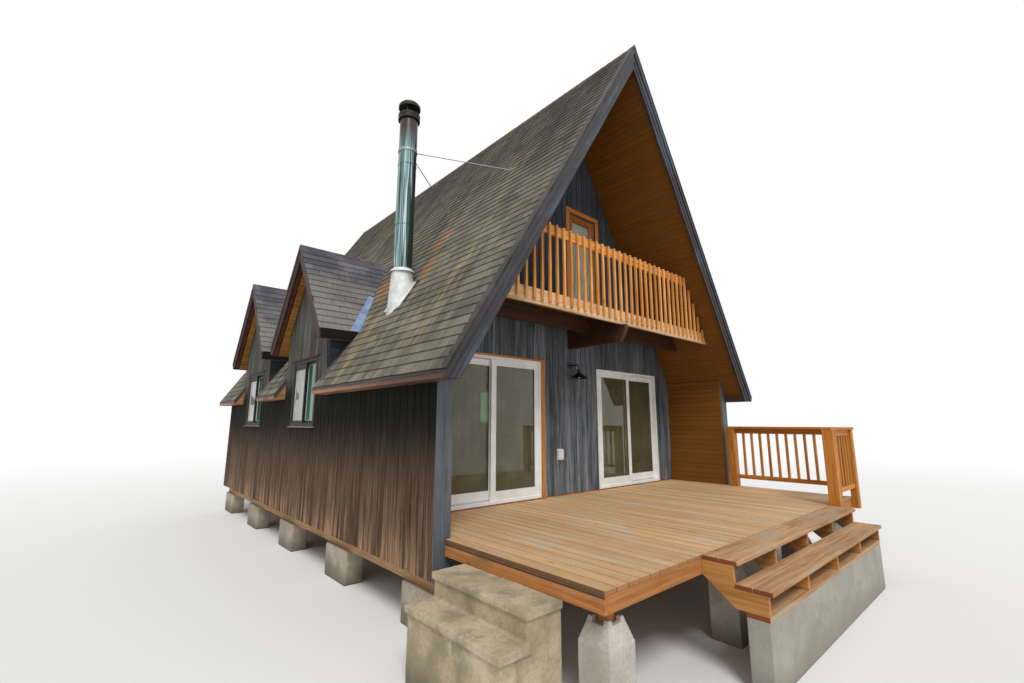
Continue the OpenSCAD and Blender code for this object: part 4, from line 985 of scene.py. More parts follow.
for sign, c, way in dormer_sides:
    dormer_rake(trims, 3.5002, 3.52, 0.0, 0.235, foot_z)
    dormer_rake(trims, 3.52, 3.532, 0.0, 0.095, foot_z + 0.07, 0.004)
    dormer_rake(rake_backs, 3.4985, 3.512, 0.2352, 0.262, foot_z, 0.002)
    dormer_rake(gap_boards, 3.4985, 3.508, 0.2622, 0.300, foot_z, 0.001)
    dormer_rake(trim_drips, 3.5325, 3.5345, -0.003, 0.024, foot_z + 0.12, 0.0)
    outline = [(slope_x(foot_z) + 0.003, foot_z), (3.4998, foot_z), (3.4998, dormer_foot_z),
               (slope_x(dormer_foot_z) + 0.003, dormer_foot_z)]
    eave_y = c + way * dormer_eave_y
    gap_boards.slab([(sign * x, eave_y, z) for x, z in outline], (0, way * 0.02, 0), (1, 0, 0))
    # Soffit boards on the underside, laid level from the wall out to the rake
    for k in range(3):
        u0, u1 = 0.99 + 0.081 * k, 0.99 + 0.081 * (k + 1) - 0.003
        z0, z1 = [soffit_z - dormer_fall * u for u in (u0, u1)]
        dormer_board(soffits, [(u0, z0 - 0.001), (u1, z1 - 0.001), (u1, z1 - 0.011), (u0, z0 - 0.011)],
                     max(slope_x(z1) + 0.01, 2.0), 3.392)
    # Short soffit boards across the slope, then a black board that paints the shade of a gap, and a dark
    # board behind the rake
    for boards, x0, x1, steps, full, deep in ((soffits, 3.285, 3.392, 11, 0.985, 0.011),
                                              (gap_boards, 3.392, 3.410, 1, 1.225, 0.006),
                                              (rake_backs, 3.410, 3.497, 1, 1.225, 0.016)):
        for k in range(steps):
            us = k * full / steps, (k + 1) * full / steps - (0.004 if steps > 1 else 0.0)
            shape = [(u, soffit_z - 0.001 - dormer_fall * u) for u in us]
            dormer_board(boards, shape + [(u, z - deep) for u, z in shape[::-1]], x0, x1)
trims.fit("dormer_trim_boards", trim_wood, "cedar_trim", "dormer_trim")
gap_boards.fit("dormer_eave_boards", eave_black, "cedar_trim")
rake_backs.fit("dormer_rake_backs", rake_back_wood, "cedar_trim")
soffits.fit("dormer_soffits", soffit_wood, "cedar_lining")
trim_drips.fit("dormer_drip_edges", drip_metal, "pale_metal")


# Windows: brown-black sliding sashes in a square frame, the left sash set forward with a pale
# gasket round its pane and a linen blind behind it, under a dark head board and over a pale sill.
sash_paint = timber("sash_paint", "#2b2725", "#191716", "#3a3733", 0.1, rough=0.45, vary=0.12, specular=0.2)
sill_paint = timber("sill_paint", "#8b8679", "#67635a", "#55524b", 0.2, rough=0.55, vary=0.15)
gasket = mottled("gasket_rubber", "#b9bab6", "#d6d7d3", 40.0, 0.55, 3.0)
sashes = Boards(51)
sills = Boards(52)
gaskets = Boards(53)
blinds = Boards(50)
panes = Boards(38)


def upright(boards, at, u0, u1, z0, z1, d0, d1, along=None, ease=0.003, same=False):
    # A bar with its faces at the depths d0 and d1; at() turns place, height and depth into a point
    corners = [at(u0, z0, d0), at(u1, z0, d0), at(u1, z1, d0), at(u0, z1, d0)]
    boards.slab(corners, Vector(at(u0, z0, d1)) - Vector(corners[0]),
                along or Vector(corners[1]) - Vector(corners[0]), ease, same)


def framed(boards, at, u0, u1, z0, z1, w, d0, d1, ease=0.003):
    # Four bars round an opening
    for low, high in ((z0, z0 + w), (z1 - w, z1)):
        upright(boards, at, u0, u1, low, high, d0, d1, None, ease)
    for a, b in ((u0, u0 + w), (u1 - w, u1)):
        upright(boards, at, a, b, z0 + w, z1 - w, d0, d1, (0, 0, 1), ease)


def dress_window(at, half, z0, z1):
    # at() takes the place along the wall, the height and the depth out of the wall's face
    framed(sashes, at, -half, half, z0, z1, 0.055, -0.075, 0.015)
    framed(sashes, at, -0.028, half - 0.050, z0 + 0.050, z1 - 0.050, 0.042, -0.028, 0.006)
    framed(sashes, at, -half + 0.050, 0.028, z0 + 0.050, z1 - 0.050, 0.042, -0.068, -0.034)
    framed(gaskets, at, 0.012, half - 0.090, z0 + 0.090, z1 - 0.090, 0.007, -0.027, 0.000, 0.001)
    framed(gaskets, at, -half + 0.090, -0.012, z0 + 0.090, z1 - 0.090, 0.007, -0.066, -0.040, 0.001)
    framed(sashes, at, -half - 0.022, half + 0.022, z0 - 0.020, z1 + 0.022, 0.022, 0.011, 0.018, 0.002)
    upright(sashes, at, -half - 0.10, half + 0.10, z1 + 0.001, z1 + 0.026, 0.0, 0.034)
    upright(sashes, at, 0.0, half - 0.05, z1 - 0.15, z1 - 0.05, -0.028, 0.004)
    slat = (half - 0.10) / 7
    thin = Vector(at(0, 0, 0.0)) - Vector(at(0, 0, 0.003))
    for k in range(7):
        a, b = 0.025 + k * slat, 0.025 + (k + 1) * slat - 0.003
        blinds.slab([at(a, z0 + 0.07, -0.098), at(b, z0 + 0.07, -0.092), at(b, z1 - 0.08, -0.092),
                     at(a, z1 - 0.08, -0.098)], thin, (0, 0, 1), 0.0)
    for u0, u1, d, shade in ((0.010, half - 0.088, -0.014, 1.0), (-half + 0.088, -0.010, -0.054, 0.0)):
        panes.shade = shade
        upright(panes, at, u0, u1, z0 + 0.088, z1 - 0.088, d, d + 0.006, (0, 0, 1), 0.0, True)
    corners = [at(-half - 0.06, z0 - 0.002, 0.0), at(half + 0.06, z0 - 0.002, 0.0),
               at(half + 0.06, z0 - 0.008, 0.040), at(-half - 0.06, z0 - 0.008, 0.040)]
    sills.slab(corners, (0, 0, -0.014), Vector(corners[1]) - Vector(corners[0]))


for sign in (-1, 1):
    for c in dormer_ys:
        dress_window(lambda u, z, d: (sign * (wall_x + d), c - sign * u, z), window_half, low_sill, low_head)
for middle, half, z0, z1 in rear_windows:
    dress_window(lambda u, z, d: (middle + u, wall_end + d, z), half, z0, z1)
sashes.fit("window_sashes", sash_paint, "window_frames", "windows")
sills.fit("window_sills", sill_paint, "siding_blue_grey")
blind_linen = timber("blind_linen", "#dcd5ca", "#bdb4a8", rough=0.85, vary=0.1)
blinds.fit("window_blinds", blind_linen, "window_frames")
gaskets.fit("window_gaskets", gasket, "window_frames")


# Glass: clear float glass, green in the windows and warm grey in the doors, with a thin film of dust in
# patches. The windows' teal and its paler patches are partly a painted reflection of the trees.
def glass(name, clean, film_code, clear, behind=None):
    # behind: the colour of the panes with a blind behind them
    def look(place):
        film = place.cloud(1.6, 3.0, 0.5)
        # In the windows the paler film patches are partly a painted reflection too
        colour = film.rise(0.35, 0.65).pick(clean, film_code)
        if behind:
            colour = place.told("tint").pick(colour, film.pick(behind, "#f2f3f0"))
        return {"Base Color": colour, "Roughness": 0.005 + 0.01 * film}
    return surface(name, look, Transmission_Weight=clear, IOR=1.5, Specular_IOR_Level=0.7)


# Teal: partly the glass's own tint, partly a painted reflection of the trees
window_pane = glass("window_pane_glass", "#5b9c86", "#8cc7b0", 0.78, "#bcc0bb")
panes.fit("window_panes", window_pane, "window_glass", "window_glass")
shown(glass("door_pane_glass", "#b5b68e", "#cfcfae", 0.88),
      "fixed_door_glass", "left_sliding_glass", "right_sliding_glass")


# Patio doors: white vinyl frames screwed into the openings, with a fixed and a sliding panel,
# welded at the corners, each pane held by a bead and a grey gasket.
def vinyl_look(place):
    smear = place.cloud(3.5, 5.0, 0.6)
    fine = place.cloud(130.0, 2.0)
    low = place.axis("Z") + smear * 0.2
    colour = smear.rise(0.35, 0.7).pick("#f3f5f5", "#e2e5e5")
    return {"Base Color": low.rise(1.10, 0.94).pick(colour, "#cfcbc0"), "Roughness": 0.32 + 0.15 * smear,
            "Normal": fine.relief(0.0004)}


white_vinyl = surface("white_vinyl", vinyl_look)
shadow_rubber = mottled("grey_rubber", "#3b3c3c", "#565756", 60.0, 0.7, 3.0)
for node, name, body in (("door_frames", "patio_door_frames", "cabin"),
                         ("left_sliding_panel", "left_door_sash", "left_door_panel"),
                         ("right_sliding_panel", "right_door_sash", "right_door_panel")):
    solid = eased(merged(node), 0.0025, 2)
    fitted(name, mesh_of(solid, name), white_vinyl, "white_frames", [node], body)
door_z0 = 0.96
panel_w = (1.89 - 0.09 + 0.075) / 2
bodies = {"cabin": "fixed", "left_door_panel": "left_door_panel", "right_door_panel": "right_door_panel"}
seals = {body: Boards(54 + k) for k, body in enumerate(bodies)}
beads = {body: Boards(57 + k) for k, body in enumerate(bodies)}
for sign, leaf in ((-1, "left_door_panel"), (1, "right_door_panel")):
    for body, x0, y0, z0, z1 in (("cabin", door_x0 + 0.045, -0.008, door_z0 + 0.045, door_z0 + 2.0),
                                 (leaf, door_x1 - 0.051 - panel_w, 0.034, door_z0 + 0.059, door_z0 + 1.994)):
        for kind, w, d0, d1 in ((beads, 0.014, -0.0005, 0.004), (seals, 0.006, 0.004, 0.0145),
                                (seals, 0.006, 0.0215, 0.032)):
            framed(kind[body], lambda u, z, d: (sign * u, y0 + d, z), x0 + 0.075, x0 + panel_w - 0.075,
                   z0 + 0.110, z1 - 0.075, w, d0, d1, 0.001)
for body, first in bodies.items():
    seals[body].fit(first + "_glass_seals", shadow_rubber, "white_frames", body=body)
    beads[body].fit(first + "_glass_beads", white_vinyl, "white_frames", body=body)


# Door casings: flat cedar boards nailed over the joint between frame and siding, bright orange
# where the porch keeps them dry.
casings = Boards(60)
case_w = 0.09
for x0, x1, z0, z1 in ((-door_x1, -door_x0 + case_w, door_head, 3.035),
                       (-door_x0, -door_x0 + case_w, 0.942, door_head - 0.001),
                       (leaf_x0 - case_w, leaf_x0, leaf_z0 + 0.002, leaf_z1),
                       (leaf_x1, leaf_x1 + case_w, leaf_z0 + 0.002, leaf_z1),
                       (leaf_x0 - case_w, leaf_x1 + case_w, leaf_z1 + 0.001, 5.86)):
    casings.box(x0, x1, -0.020, -0.0005, z0, z1)
casing_wood = timber("casing_cedar", "#c98442", "#9c5c24", knots=0.5, rough=0.5)
casings.fit("casing_boards", casing_wood, "cedar_trim", "door_casings")


# Balcony floor: orange planks laid across between the roof slopes, behind a wide rim board of
# pale bare wood with a strip along its lower edge.
balcony_wood = timber("balcony_cedar", "#e2a25a", "#b5702f", "#e3b67e", 0.2, 0.5, rough=0.52, vary=0.34)
# The planks' undersides are painted dark brown: a painted shade under the balcony floor
plank_wood = timber("balcony_plank_cedar", "#c98b4b", "#9c632c", "#c9a06b", 0.2, 0.5, rough=0.55,
                    fade=("Z", 3.7065, 3.7040, "#4a2f1d"))
planks = Boards(61)
rim_strip = Boards(62)
rim_y = -1.062                       # back of the rim board


def porch_half(z):
    return (lining_z - 0.03576 - z) / fall


def level_plank(boards, y0, y1, z0, z1, ease=0.003):
    # A board across the porch whose ends follow the slopes
    a, b = porch_half(z0) - 0.002, porch_half(z1) - 0.002
    boards.drawn(((-a, z0), (a, z0), (b, z1), (-b, z1)), y0, y1, (1, 0, 0), ease)


for k in range(7):
    y0 = rim_y + 0.1517 * k
    level_plank(planks, y0 + 0.002, y0 + 0.1497, 3.703, 3.740)
level_plank(rim_strip, -1.10, rim_y, 3.562, 3.740)
level_plank(rim_strip, -1.106, rim_y, 3.535, 3.561)
planks.fit("balcony_planks", plank_wood, "balcony_boards", "balcony_floor")
bare_edge = timber("bare_edge_wood", "#e2c49e", "#c49c70", rough=0.6)
rim_strip.fit("balcony_rim_strip", bare_edge, "balcony_boards")


# Balcony beams: one heavy dark-stained beam out from the wall with a sawn nose, and a long one
# across it that bears on the roof framing at both ends.
dark_beam = timber("dark_beam_stain", "#54341f", "#301c10", knots=0.4, rough=0.48)
whole("balcony_beam_timbers", "balcony_beams", 63, dark_beam, "dark_beams", 0.005)


# Balcony railing: square cedar balusters screwed to the face of the rim and of a deep rail on
# edge behind their tops, their feet chamfered.
balusters = Boards(64)
level_plank(balusters, -1.0995, rim_y, 4.545, 4.684, 0.005)
baluster_pitch, baluster_half = 0.142, 0.019
count = math.floor(2 * (porch_half(3.535) - 2 * baluster_half) / baluster_pitch)
for k in range(count + 1):
    x = (k - count / 2) * baluster_pitch
    high = min(4.690, lining_z - 0.0378 - fall * (abs(x) + baluster_half))
    if high < 3.60:
        continue
    foot = 3.578 + balusters.draw.uniform(-0.004, 0.004)
    high -= balusters.draw.uniform(0.0, 0.006)
    outline = [(-1.138, foot + 0.022), (-1.1065, foot), (-1.1065, high), (-1.138, high)]
    balusters.slab([(x - baluster_half, y, z) for y, z in outline], (2 * baluster_half, 0, 0), (0, 0, 1))
balusters.fit("balcony_balusters", balcony_wood, "balcony_boards", "balcony_railing")


# Balcony door: a cedar frame door with one tall pane, behind which a pale curtain hangs.
leaf = Boards(65)


def on_leaf(u, z, d):
    return ((leaf_x0 + leaf_x1) / 2 + u, 0.030 - d, leaf_z0 + z)


framed(leaf, on_leaf, -0.358, 0.358, 0.002, 2.028, 0.105, -0.045, 0.0, 0.004)
upright(leaf, on_leaf, -0.253, 0.253, 0.107, 0.25, -0.045, -0.003, (1, 0, 0))
framed(leaf, on_leaf, -0.253, 0.253, 0.25, 1.923, 0.018, -0.030, -0.006, 0.003)
leaf_wood = timber("door_leaf_cedar", "#b0702f", "#84501f", rough=0.42)
leaf.fit("balcony_door_leaf", leaf_wood, "balcony_door_wood", "balcony_door")
pane = Boards(66)
upright(pane, on_leaf, -0.24, 0.24, 0.263, 1.91, -0.022, -0.016, (0, 0, 1), 0.0)
pane.fit("balcony_door_pane", glass("balcony_pane_glass", "#dde6df", "#eef3ee", 0.92), "door_glass")
curtain = bmesh.new()
folds, hems = 46, 9


def cloth(k, row, depth):
    # A corner of the curtain on the fold k, at the height of row
    u, z = -0.235 + 0.47 * k / folds, 0.275 + row * (1.62 / hems)
    wave = 0.0038 * math.sin(k * 1.15 + 0.2 * math.sin(row * 0.9))
    return curtain.verts.new(on_leaf(u, z, -0.0335 - depth + wave))


sides = [[[cloth(k, row, depth) for k in range(folds + 1)] for row in range(hems + 1)]
         for depth in (0.0, 0.0015)]
foot_and_head = [[side[row] for side in sides] for row in (0, hems)]
edges = [[[line[k] for line in side] for side in sides] for k in (0, folds)]
for rows in sides + foot_and_head + edges:
    for low, high in zip(rows, rows[1:]):
        for k in range(len(low) - 1):
            curtain.faces.new([low[k], low[k + 1], high[k + 1], high[k]])
bmesh.ops.recalc_face_normals(curtain, faces=curtain.faces)
voile = surface("curtain_cloth", lambda place: {
    "Base Color": (place * (300.0, 1.0, 300.0)).cloud(1.0, 2.0).rise(0.3, 0.7).pick("#d8d4c8", "#f2eee4"),
    "Roughness": 0.9})
fitted("balcony_door_curtain", mesh_of(curtain, "balcony_door_curtain"), voile, "balcony_door_wood")


# Stove pipe: lengths of polished stainless pipe with a rolled seam at each joint, under a black rain cap on
# straps. Reflections of trees and sky are painted into its colour as long upright streaks.
def hoop(solid, low, high):
    # The faces between two closed rings of as many corners
    for k in range(len(low)):
        solid.faces.new([low[k - 1], low[k], high[k], high[k - 1]])


def turned(profile, x, y, steps=72, closed=True):
    # A shape turned on an upright axis from (radius, height) pairs
    solid = bmesh.new()
    angles = [2 * math.pi * k / steps for k in range(steps)]
    rings = [[solid.verts.new((x + r * math.cos(a), y + r * math.sin(a), z)) for a in angles]
             for r, z in profile]
    for low, high in zip(rings, rings[1:] + (rings[:1] if closed else [])):
        hoop(solid, low, high)
    bmesh.ops.recalc_face_normals(solid, faces=solid.faces)
    return solid


def capped(solid):
    # Closes the open rings
    bmesh.ops.holes_fill(solid, edges=[e for e in solid.edges if len(e.link_faces) == 1], sides=0)
    bmesh.ops.recalc_face_normals(solid, faces=solid.faces)


def smooth_piece(name, solid, material, slot, *replaced, angle=0.6):
    # Smooth shading, but for the sharp edges
    for edge in solid.edges:
        edge.smooth = len(edge.link_faces) < 2 or edge.calc_face_angle(0.0) < angle
    for face in solid.faces:
        face.smooth = True
    fitted(name, mesh_of(solid, name), material, slot, replaced)


pipe_r = 0.140
pipe_foot = lining_z - fall * (pipe_r - pipe_x) + 0.464
cap_z = 6.885                        # top of the pipe
profile = [(0.110, pipe_foot), (0.110, cap_z), (pipe_r, cap_z)]
for joint in (6.03, 5.03):
    seam = ((pipe_r, 0.012), (0.1438, 0.009), (0.1438, 0.002), (0.1395, -0.001), (0.1395, -0.004),
            (0.1438, -0.007), (0.1438, -0.013), (pipe_r, -0.016))
    profile += [(r, joint + z) for r, z in seam]
pipe = turned(profile + [(pipe_r, pipe_foot)], pipe_x, pipe_y, 96)


def pipe_look(place):
    reflection_bands = (place * (26.0, 26.0, 0.35)).cloud(1.0, 2.0, 0.5)
    reflection_streaks = (place * (9.0, 9.0, 0.12)).cloud(1.0, 3.0, 0.6)
    brush = (place * (420.0, 420.0, 3.0)).cloud(1.0, 2.0)
    stain = (place * (7.0, 7.0, 1.4)).cloud(1.0, 4.0, 0.6)
    # Painted reflections: upright bands of tree green, sky blue and white glints in the steel's colour
    colour = place.node("ValToRGB", {}, {0: reflection_bands * 0.5 + reflection_streaks * 0.5})
    stops = colour.socket.node.color_ramp.elements
    stops.remove(stops[1])
    stops[0].position, stops[0].color = 0.36, paint("#161d1a")
    for position, code in ((0.42, "#4f6f55"), (0.46, "#2c3d40"), (0.50, "#c4d4d8"), (0.53, "#4d6f88"),
                           (0.58, "#6f9272"), (0.63, "#2b2623")):
        stops.new(position).color = paint(code)
    colour = (stain.rise(0.58, 0.72) * 0.5).pick(colour, "#4a4540")
    colour = place.axis("Z").rise(6.15, 6.7).pick(colour, "#4b4341")
    return {"Base Color": colour, "Roughness": 0.16 + 0.14 * brush + 0.12 * stain,
            "Normal": brush.relief(0.0003)}


smooth_piece("stove_pipe", pipe, surface("stainless_pipe_steel", pipe_look, Metallic=0.85), "stainless_pipe",
             "chimney_pipe")


# Rain cap: a lid of sheet steel in black enamel, held up on four straps above a sleeve that is
# pushed over the pipe.
cap_parts = bmesh.new()
sleeve = ((0.1402, -0.075), (0.1402, 0.002), (0.118, 0.002), (0.118, 0.022), (0.150, 0.025),
          (0.172, 0.020), (0.172, -0.012), (0.168, -0.014), (0.168, -0.058), (0.172, -0.062),
          (0.172, -0.072), (0.169, -0.075))
lid = ((0.02, 0.138), (0.165, 0.138), (0.165, 0.135), (0.172, 0.135), (0.172, 0.181), (0.168, 0.186),
       (0.154, 0.206), (0.145, 0.2145), (0.02, 0.2148))
cap_parts.from_mesh(mesh_of(turned([(r, cap_z + z) for r, z in sleeve], pipe_x, pipe_y), "sleeve"))
lid = turned([(r, cap_z + z) for r, z in lid], pipe_x, pipe_y, closed=False)
capped(lid)
cap_parts.from_mesh(mesh_of(lid, "lid"))
strap_set = Boards(67)
for k in range(4):
    way = math.radians(45 + 90 * k)
    out, aside = Vector((math.cos(way), math.sin(way), 0)), Vector((-math.sin(way), math.cos(way), 0)) * 0.011
    base = Vector((pipe_x, pipe_y, cap_z + 0.018)) + out * 0.121
    strap_set.slab([base - aside, base + aside, base + aside + out * 0.005, base - aside + out * 0.005],
                   (0, 0, 0.121), (0, 0, 1), 0.001)
cap_parts.from_mesh(strap_set.mesh("cap_straps"))


def black_look(place):
    chalk = place.cloud(6.0, 5.0, 0.65)
    grit = place.cloud(190.0, 2.0)
    return {"Base Color": chalk.rise(0.35, 0.75).pick("#0c0d0d", "#23231f"), "Roughness": 0.38 + 0.3 * chalk,
            "Normal": grit.relief(0.0006)}


black_enamel = surface("black_enamel", black_look, Coat_Weight=0.12, Specular_IOR_Level=0.3)
smooth_piece("rain_cap", cap_parts, black_enamel, "black_metal", "chimney_cap")


# Flashing: a pale cone soldered to a base sheet under the shingles, and a storm collar clamped
# to the pipe above it.
slope_z = ridge_z + fall * pipe_x    # of the roof's top, at the pipe's axis
collar_z = slope_z + 0.368
cone_low = slope_z - fall * 0.21 - 0.02
cone = (0.2115, cone_low), (0.1605, collar_z - 0.004), (0.1555, collar_z - 0.006), (0.2055, cone_low)
collar = ((0.1408, 0.052), (0.147, 0.053), (0.166, 0.034), (0.188, 0.003), (0.190, -0.006), (0.187, -0.006),
          (0.163, 0.028), (0.1408, 0.044))
up_slope, lift = Vector((roof_cos, 0, roof_sin)), Vector((-roof_sin, 0, roof_cos))
boot = bmesh.new()
for profile in (cone, [(r, collar_z + z) for r, z in collar]):
    part = turned(profile, pipe_x, pipe_y)
    bmesh.ops.bisect_plane(part, geom=part.verts[:] + part.edges[:] + part.faces[:], dist=0.0001,
                           plane_co=(pipe_x, pipe_y, slope_z + 0.002), plane_no=lift, clear_inner=True)
    capped(part)
    boot.from_mesh(mesh_of(part, "boot_part"))
centre = Vector((pipe_x, pipe_y, slope_z)) + lift * 0.0135
outer, hole = [], []
for k in range(48):
    a = 2 * math.pi * k / 48
    reach = min(0.262 / max(abs(math.cos(a)), 1e-6), 0.235 / max(abs(math.sin(a)), 1e-6))
    outer.append(centre + up_slope * (reach * math.cos(a) - 0.01) + Vector((0, 1, 0)) * reach * math.sin(a))
    x = pipe_x + math.cos(a) * 0.152
    hole.append(Vector((x, pipe_y + math.sin(a) * 0.152, ridge_z + fall * x)) + lift * 0.0135)
sheet = bmesh.new()
rings = [[sheet.verts.new(p + lift * h) for p in ring]
         for ring, h in ((outer, 0.0), (outer, 0.003), (hole, 0.003), (hole, 0.0))]
for low, high in zip(rings, rings[1:] + rings[:1]):
    hoop(sheet, low, high)
bmesh.ops.recalc_face_normals(sheet, faces=sheet.faces)
boot.from_mesh(mesh_of(sheet, "skirt"))


def pale_sheet_look(place):
    haze = place.cloud(8.0, 5.0, 0.62)
    run = (place * (30.0, 30.0, 3.0)).cloud(1.0, 4.0, 0.6)
    colour = haze.rise(0.35, 0.7).pick("#c9cdca", "#eceeeb")
    return {"Base Color": run.rise(0.60, 0.75).pick(colour, "#a49a85"), "Roughness": 0.42 + 0.3 * haze,
            "Normal": haze.relief(0.001)}


smooth_piece("pipe_boot", boot, surface("pale_sheet_metal", pale_sheet_look, Metallic=0.25), "pale_metal",
             "chimney_flashing")


# Stays: thin rods of galvanised steel that steady the pipe, from a clamp band round it down to
# plates screwed to the roof.
def galvanised_look(place):
    spangle = place.cells(120.0)
    rust = place.cloud(14.0, 5.0, 0.65)
    colour = spangle.rise(0.0, 0.8).pick("#7c7f80", "#a3a6a6")
    return {"Base Color": rust.rise(0.58, 0.72).pick(colour, "#6e4a33"), "Roughness": 0.4 + 0.3 * rust,
            "Normal": spangle.relief(0.0003)}


smooth_piece("pipe_stays", eased(merged("chimney_stays"), 0.0008, 1, 0.9),
             surface("galvanised_steel", galvanised_look, Metallic=0.7), "galvanised_rods", "chimney_stays")


# Deck: cedar boards laid from the house to the front edge, screwed to the joists with small gaps between
# them, walked pale in the middle. Their edges along the gaps are darkened by dirt and a painted shade.
deck_x, deck_y = 3.16, -3.03
deck_z0, deck_z1 = 0.902, 0.940      # faces of the deck's boards
board_pitch = 0.1404
joist = 0.038                        # thickness of joists and rims
joist_pitch = 2.992 / 6
post_xs, post_ys = (-2.96, -2.96 / 3, 2.96 / 3, 2.96), (-2.88, -1.53)
# The joint darkening is dirt and a painted shade for the gaps between the boards
deck_wood = timber("deck_cedar", "#dab68b", "#b68c60", "#c3b094", 0.3, 0.45, rough=0.6, vary=0.26, calm=0.12,
                   ends=("Y", deck_y, 3.0, "#a3754c"), joint=("X", -deck_x, board_pitch),
                   fade=("X", -3.1540, -3.1560, "#a3754c"))
decking = Boards(71)
x = -deck_x
spots = []
while x < deck_x - 0.02:
    end = min(x + board_pitch, deck_x)
    near_wall = wing_y if max(abs(x), abs(end)) > inner_x else 0.0
    decking.box(x + 0.003, end - 0.003, deck_y, near_wall - 0.001, deck_z0, deck_z1, (0, 1, 0), 0.0045)
    if near_wall < 0.0:
        # The outer boards are notched round the wing walls
        a, b = max(x + 0.003, 0.002 - inner_x), min(end - 0.003, inner_x - 0.002)
        decking.box(a, b, near_wall - 0.001, -0.001, deck_z0, deck_z1, (0, 1, 0), 0.0045, True)
    for k in range(7):
        y = deck_y + joist / 2 + k * joist_pitch
        if y < near_wall - 0.02:
            spots += [(x + 0.030, y, 0.9402), (end - 0.030, y, 0.9402)]
    x = end
decking.fit("deck_planks", deck_wood, "deck_wood", "deck_boards")


# Deck screws: two of dark steel at each joist in every board, their heads driven flush with the
# wood.
def screw_tree():
    given = new_tree("deck_screws", ("Head radius", "Head height"))
    radius, points = given["Head radius"], given["Geometry"]
    head = points.node("GeometryNodeMeshCone", {}, {
        "Vertices": 8, "Radius Bottom": radius, "Radius Top": radius * 0.8, "Depth": given["Head height"]})
    tilt = points.node("FunctionNodeRandomValue", {"data_type": "FLOAT_VECTOR"},
                       {"Min": (-0.06, -0.06, 0.0), "Max": (0.06, 0.06, 3.14), "Seed": 5})
    heads = points.node("GeometryNodeInstanceOnPoints", {},
                        {"Points": points, "Instance": head, "Rotation": tilt})
    return ended(heads, given["Finish"])


screw_heads = screw_tree()
screw_steel = mottled("screw_steel", "#3c3a37", "#625e58", 30.0, 0.45, 3.0, (0.35, 0.65), Metallic=0.8)


def screwed(name, spots):
    heads = spread(spots, screw_heads, {"Head radius": 0.0042, "Head height": 0.0012, "Finish": screw_steel})
    fitted(name, heads, screw_steel, "galvanised_rods")


screwed("deck_screw_heads", spots)


# Deck frame: doubled rim boards of orange cedar, thin dark flashing tape along their top whose black also
# paints the shadow line under the boards' edge, and sawn joists and posts behind them on blocks.
rim_wood = timber("rim_cedar", "#bd7f47", "#925b2c", "#7f6144", 0.16, 0.5, rough=0.5, vary=0.2)
frame_wood = timber("frame_fir", "#a98558", "#7f5e38", "#6b5b47", 0.3, 0.3)
rims = Boards(72)
joists = Boards(73)
tape_and_shade_line = Boards(74)
rim_low, rim_high = 0.782, 0.901
for sign in (-1, 1):
    rims.box(sign * (deck_x - joist), sign * deck_x, deck_y, wing_y, rim_low, rim_high, (0, 1, 0))
    rims.box(sign * (inner_x - joist), sign * inner_x, wing_y - joist, 0.0, rim_low, rim_high, (0, 1, 0))
    # Flashing tape in black, which also paints the shadow line under the deck boards' edge
    tape_and_shade_line.box(sign * (deck_x + 0.0005), sign * (deck_x + 0.0025), deck_y, wing_y, 0.888, rim_high,
             (0, 1, 0), 0.0)
rim_half = 3.121                     # half the length of the front rim
rims.box(-rim_half, rim_half, deck_y, deck_y + joist, rim_low, rim_high)
for k in range(1, 7):
    y = deck_y + k * joist_pitch
    half = rim_half if y + joist < wing_y else 3.061
    joists.box(-half, half, y, min(y + joist, 0.0), rim_low, rim_high)
for x in post_xs:
    joists.box(x - joist / 2, x + joist / 2, -2.99, -0.002, rim_low + 0.0005, rim_high - 0.0005)
rims.fit("deck_rim_boards", rim_wood, "deck_frame_wood", "deck_frame")
joists.fit("deck_joists", frame_wood, "deck_frame_wood")
tape_and_shade_line.fit("deck_tape_and_shade_line", mottled("black_tape_and_shade", "#1f1a16", "#3a312a", 20.0, 0.7), "deck_frame_wood")
whole("deck_post_timbers", "deck_posts", 75, rim_wood, "deck_frame_wood", 0.004, (0, 0, 1))


# Deck footings: tapered precast blocks with four raised corners that hold the foot of a post, and
# a cast foot slab under the stair.
block_concrete = concrete("block_concrete", "#cfc8bd", "#aaa196", "#8b8478", "#8f8c80", -3.1)
cast("deck_blocks", "deck_footings", 0.010, 0.0008, block_concrete)
lugs = bmesh.new()
for x, y in [(x, y) for x in post_xs for y in post_ys]:
    for dx, dy in ((-1, -1), (-1, 1), (1, -1), (1, 1)):
        rings = [[lugs.verts.new((x + dx * a, y + dy * b, z)) for a, b in ((r, r), (s, r), (s, s), (r, s))]
                 for r, s, z in ((0.048, 0.099, 0.666), (0.050, 0.088, 0.706))]
        lugs.faces.new(rings[0])
        lugs.faces.new(rings[1])
        hoop(lugs, *rings)
bmesh.ops.recalc_face_normals(lugs, faces=lugs.faces)
eased(lugs, 0.004, 2)
fitted("deck_block_lugs", mesh_of(lugs, "deck_block_lugs"), block_concrete, "concrete")


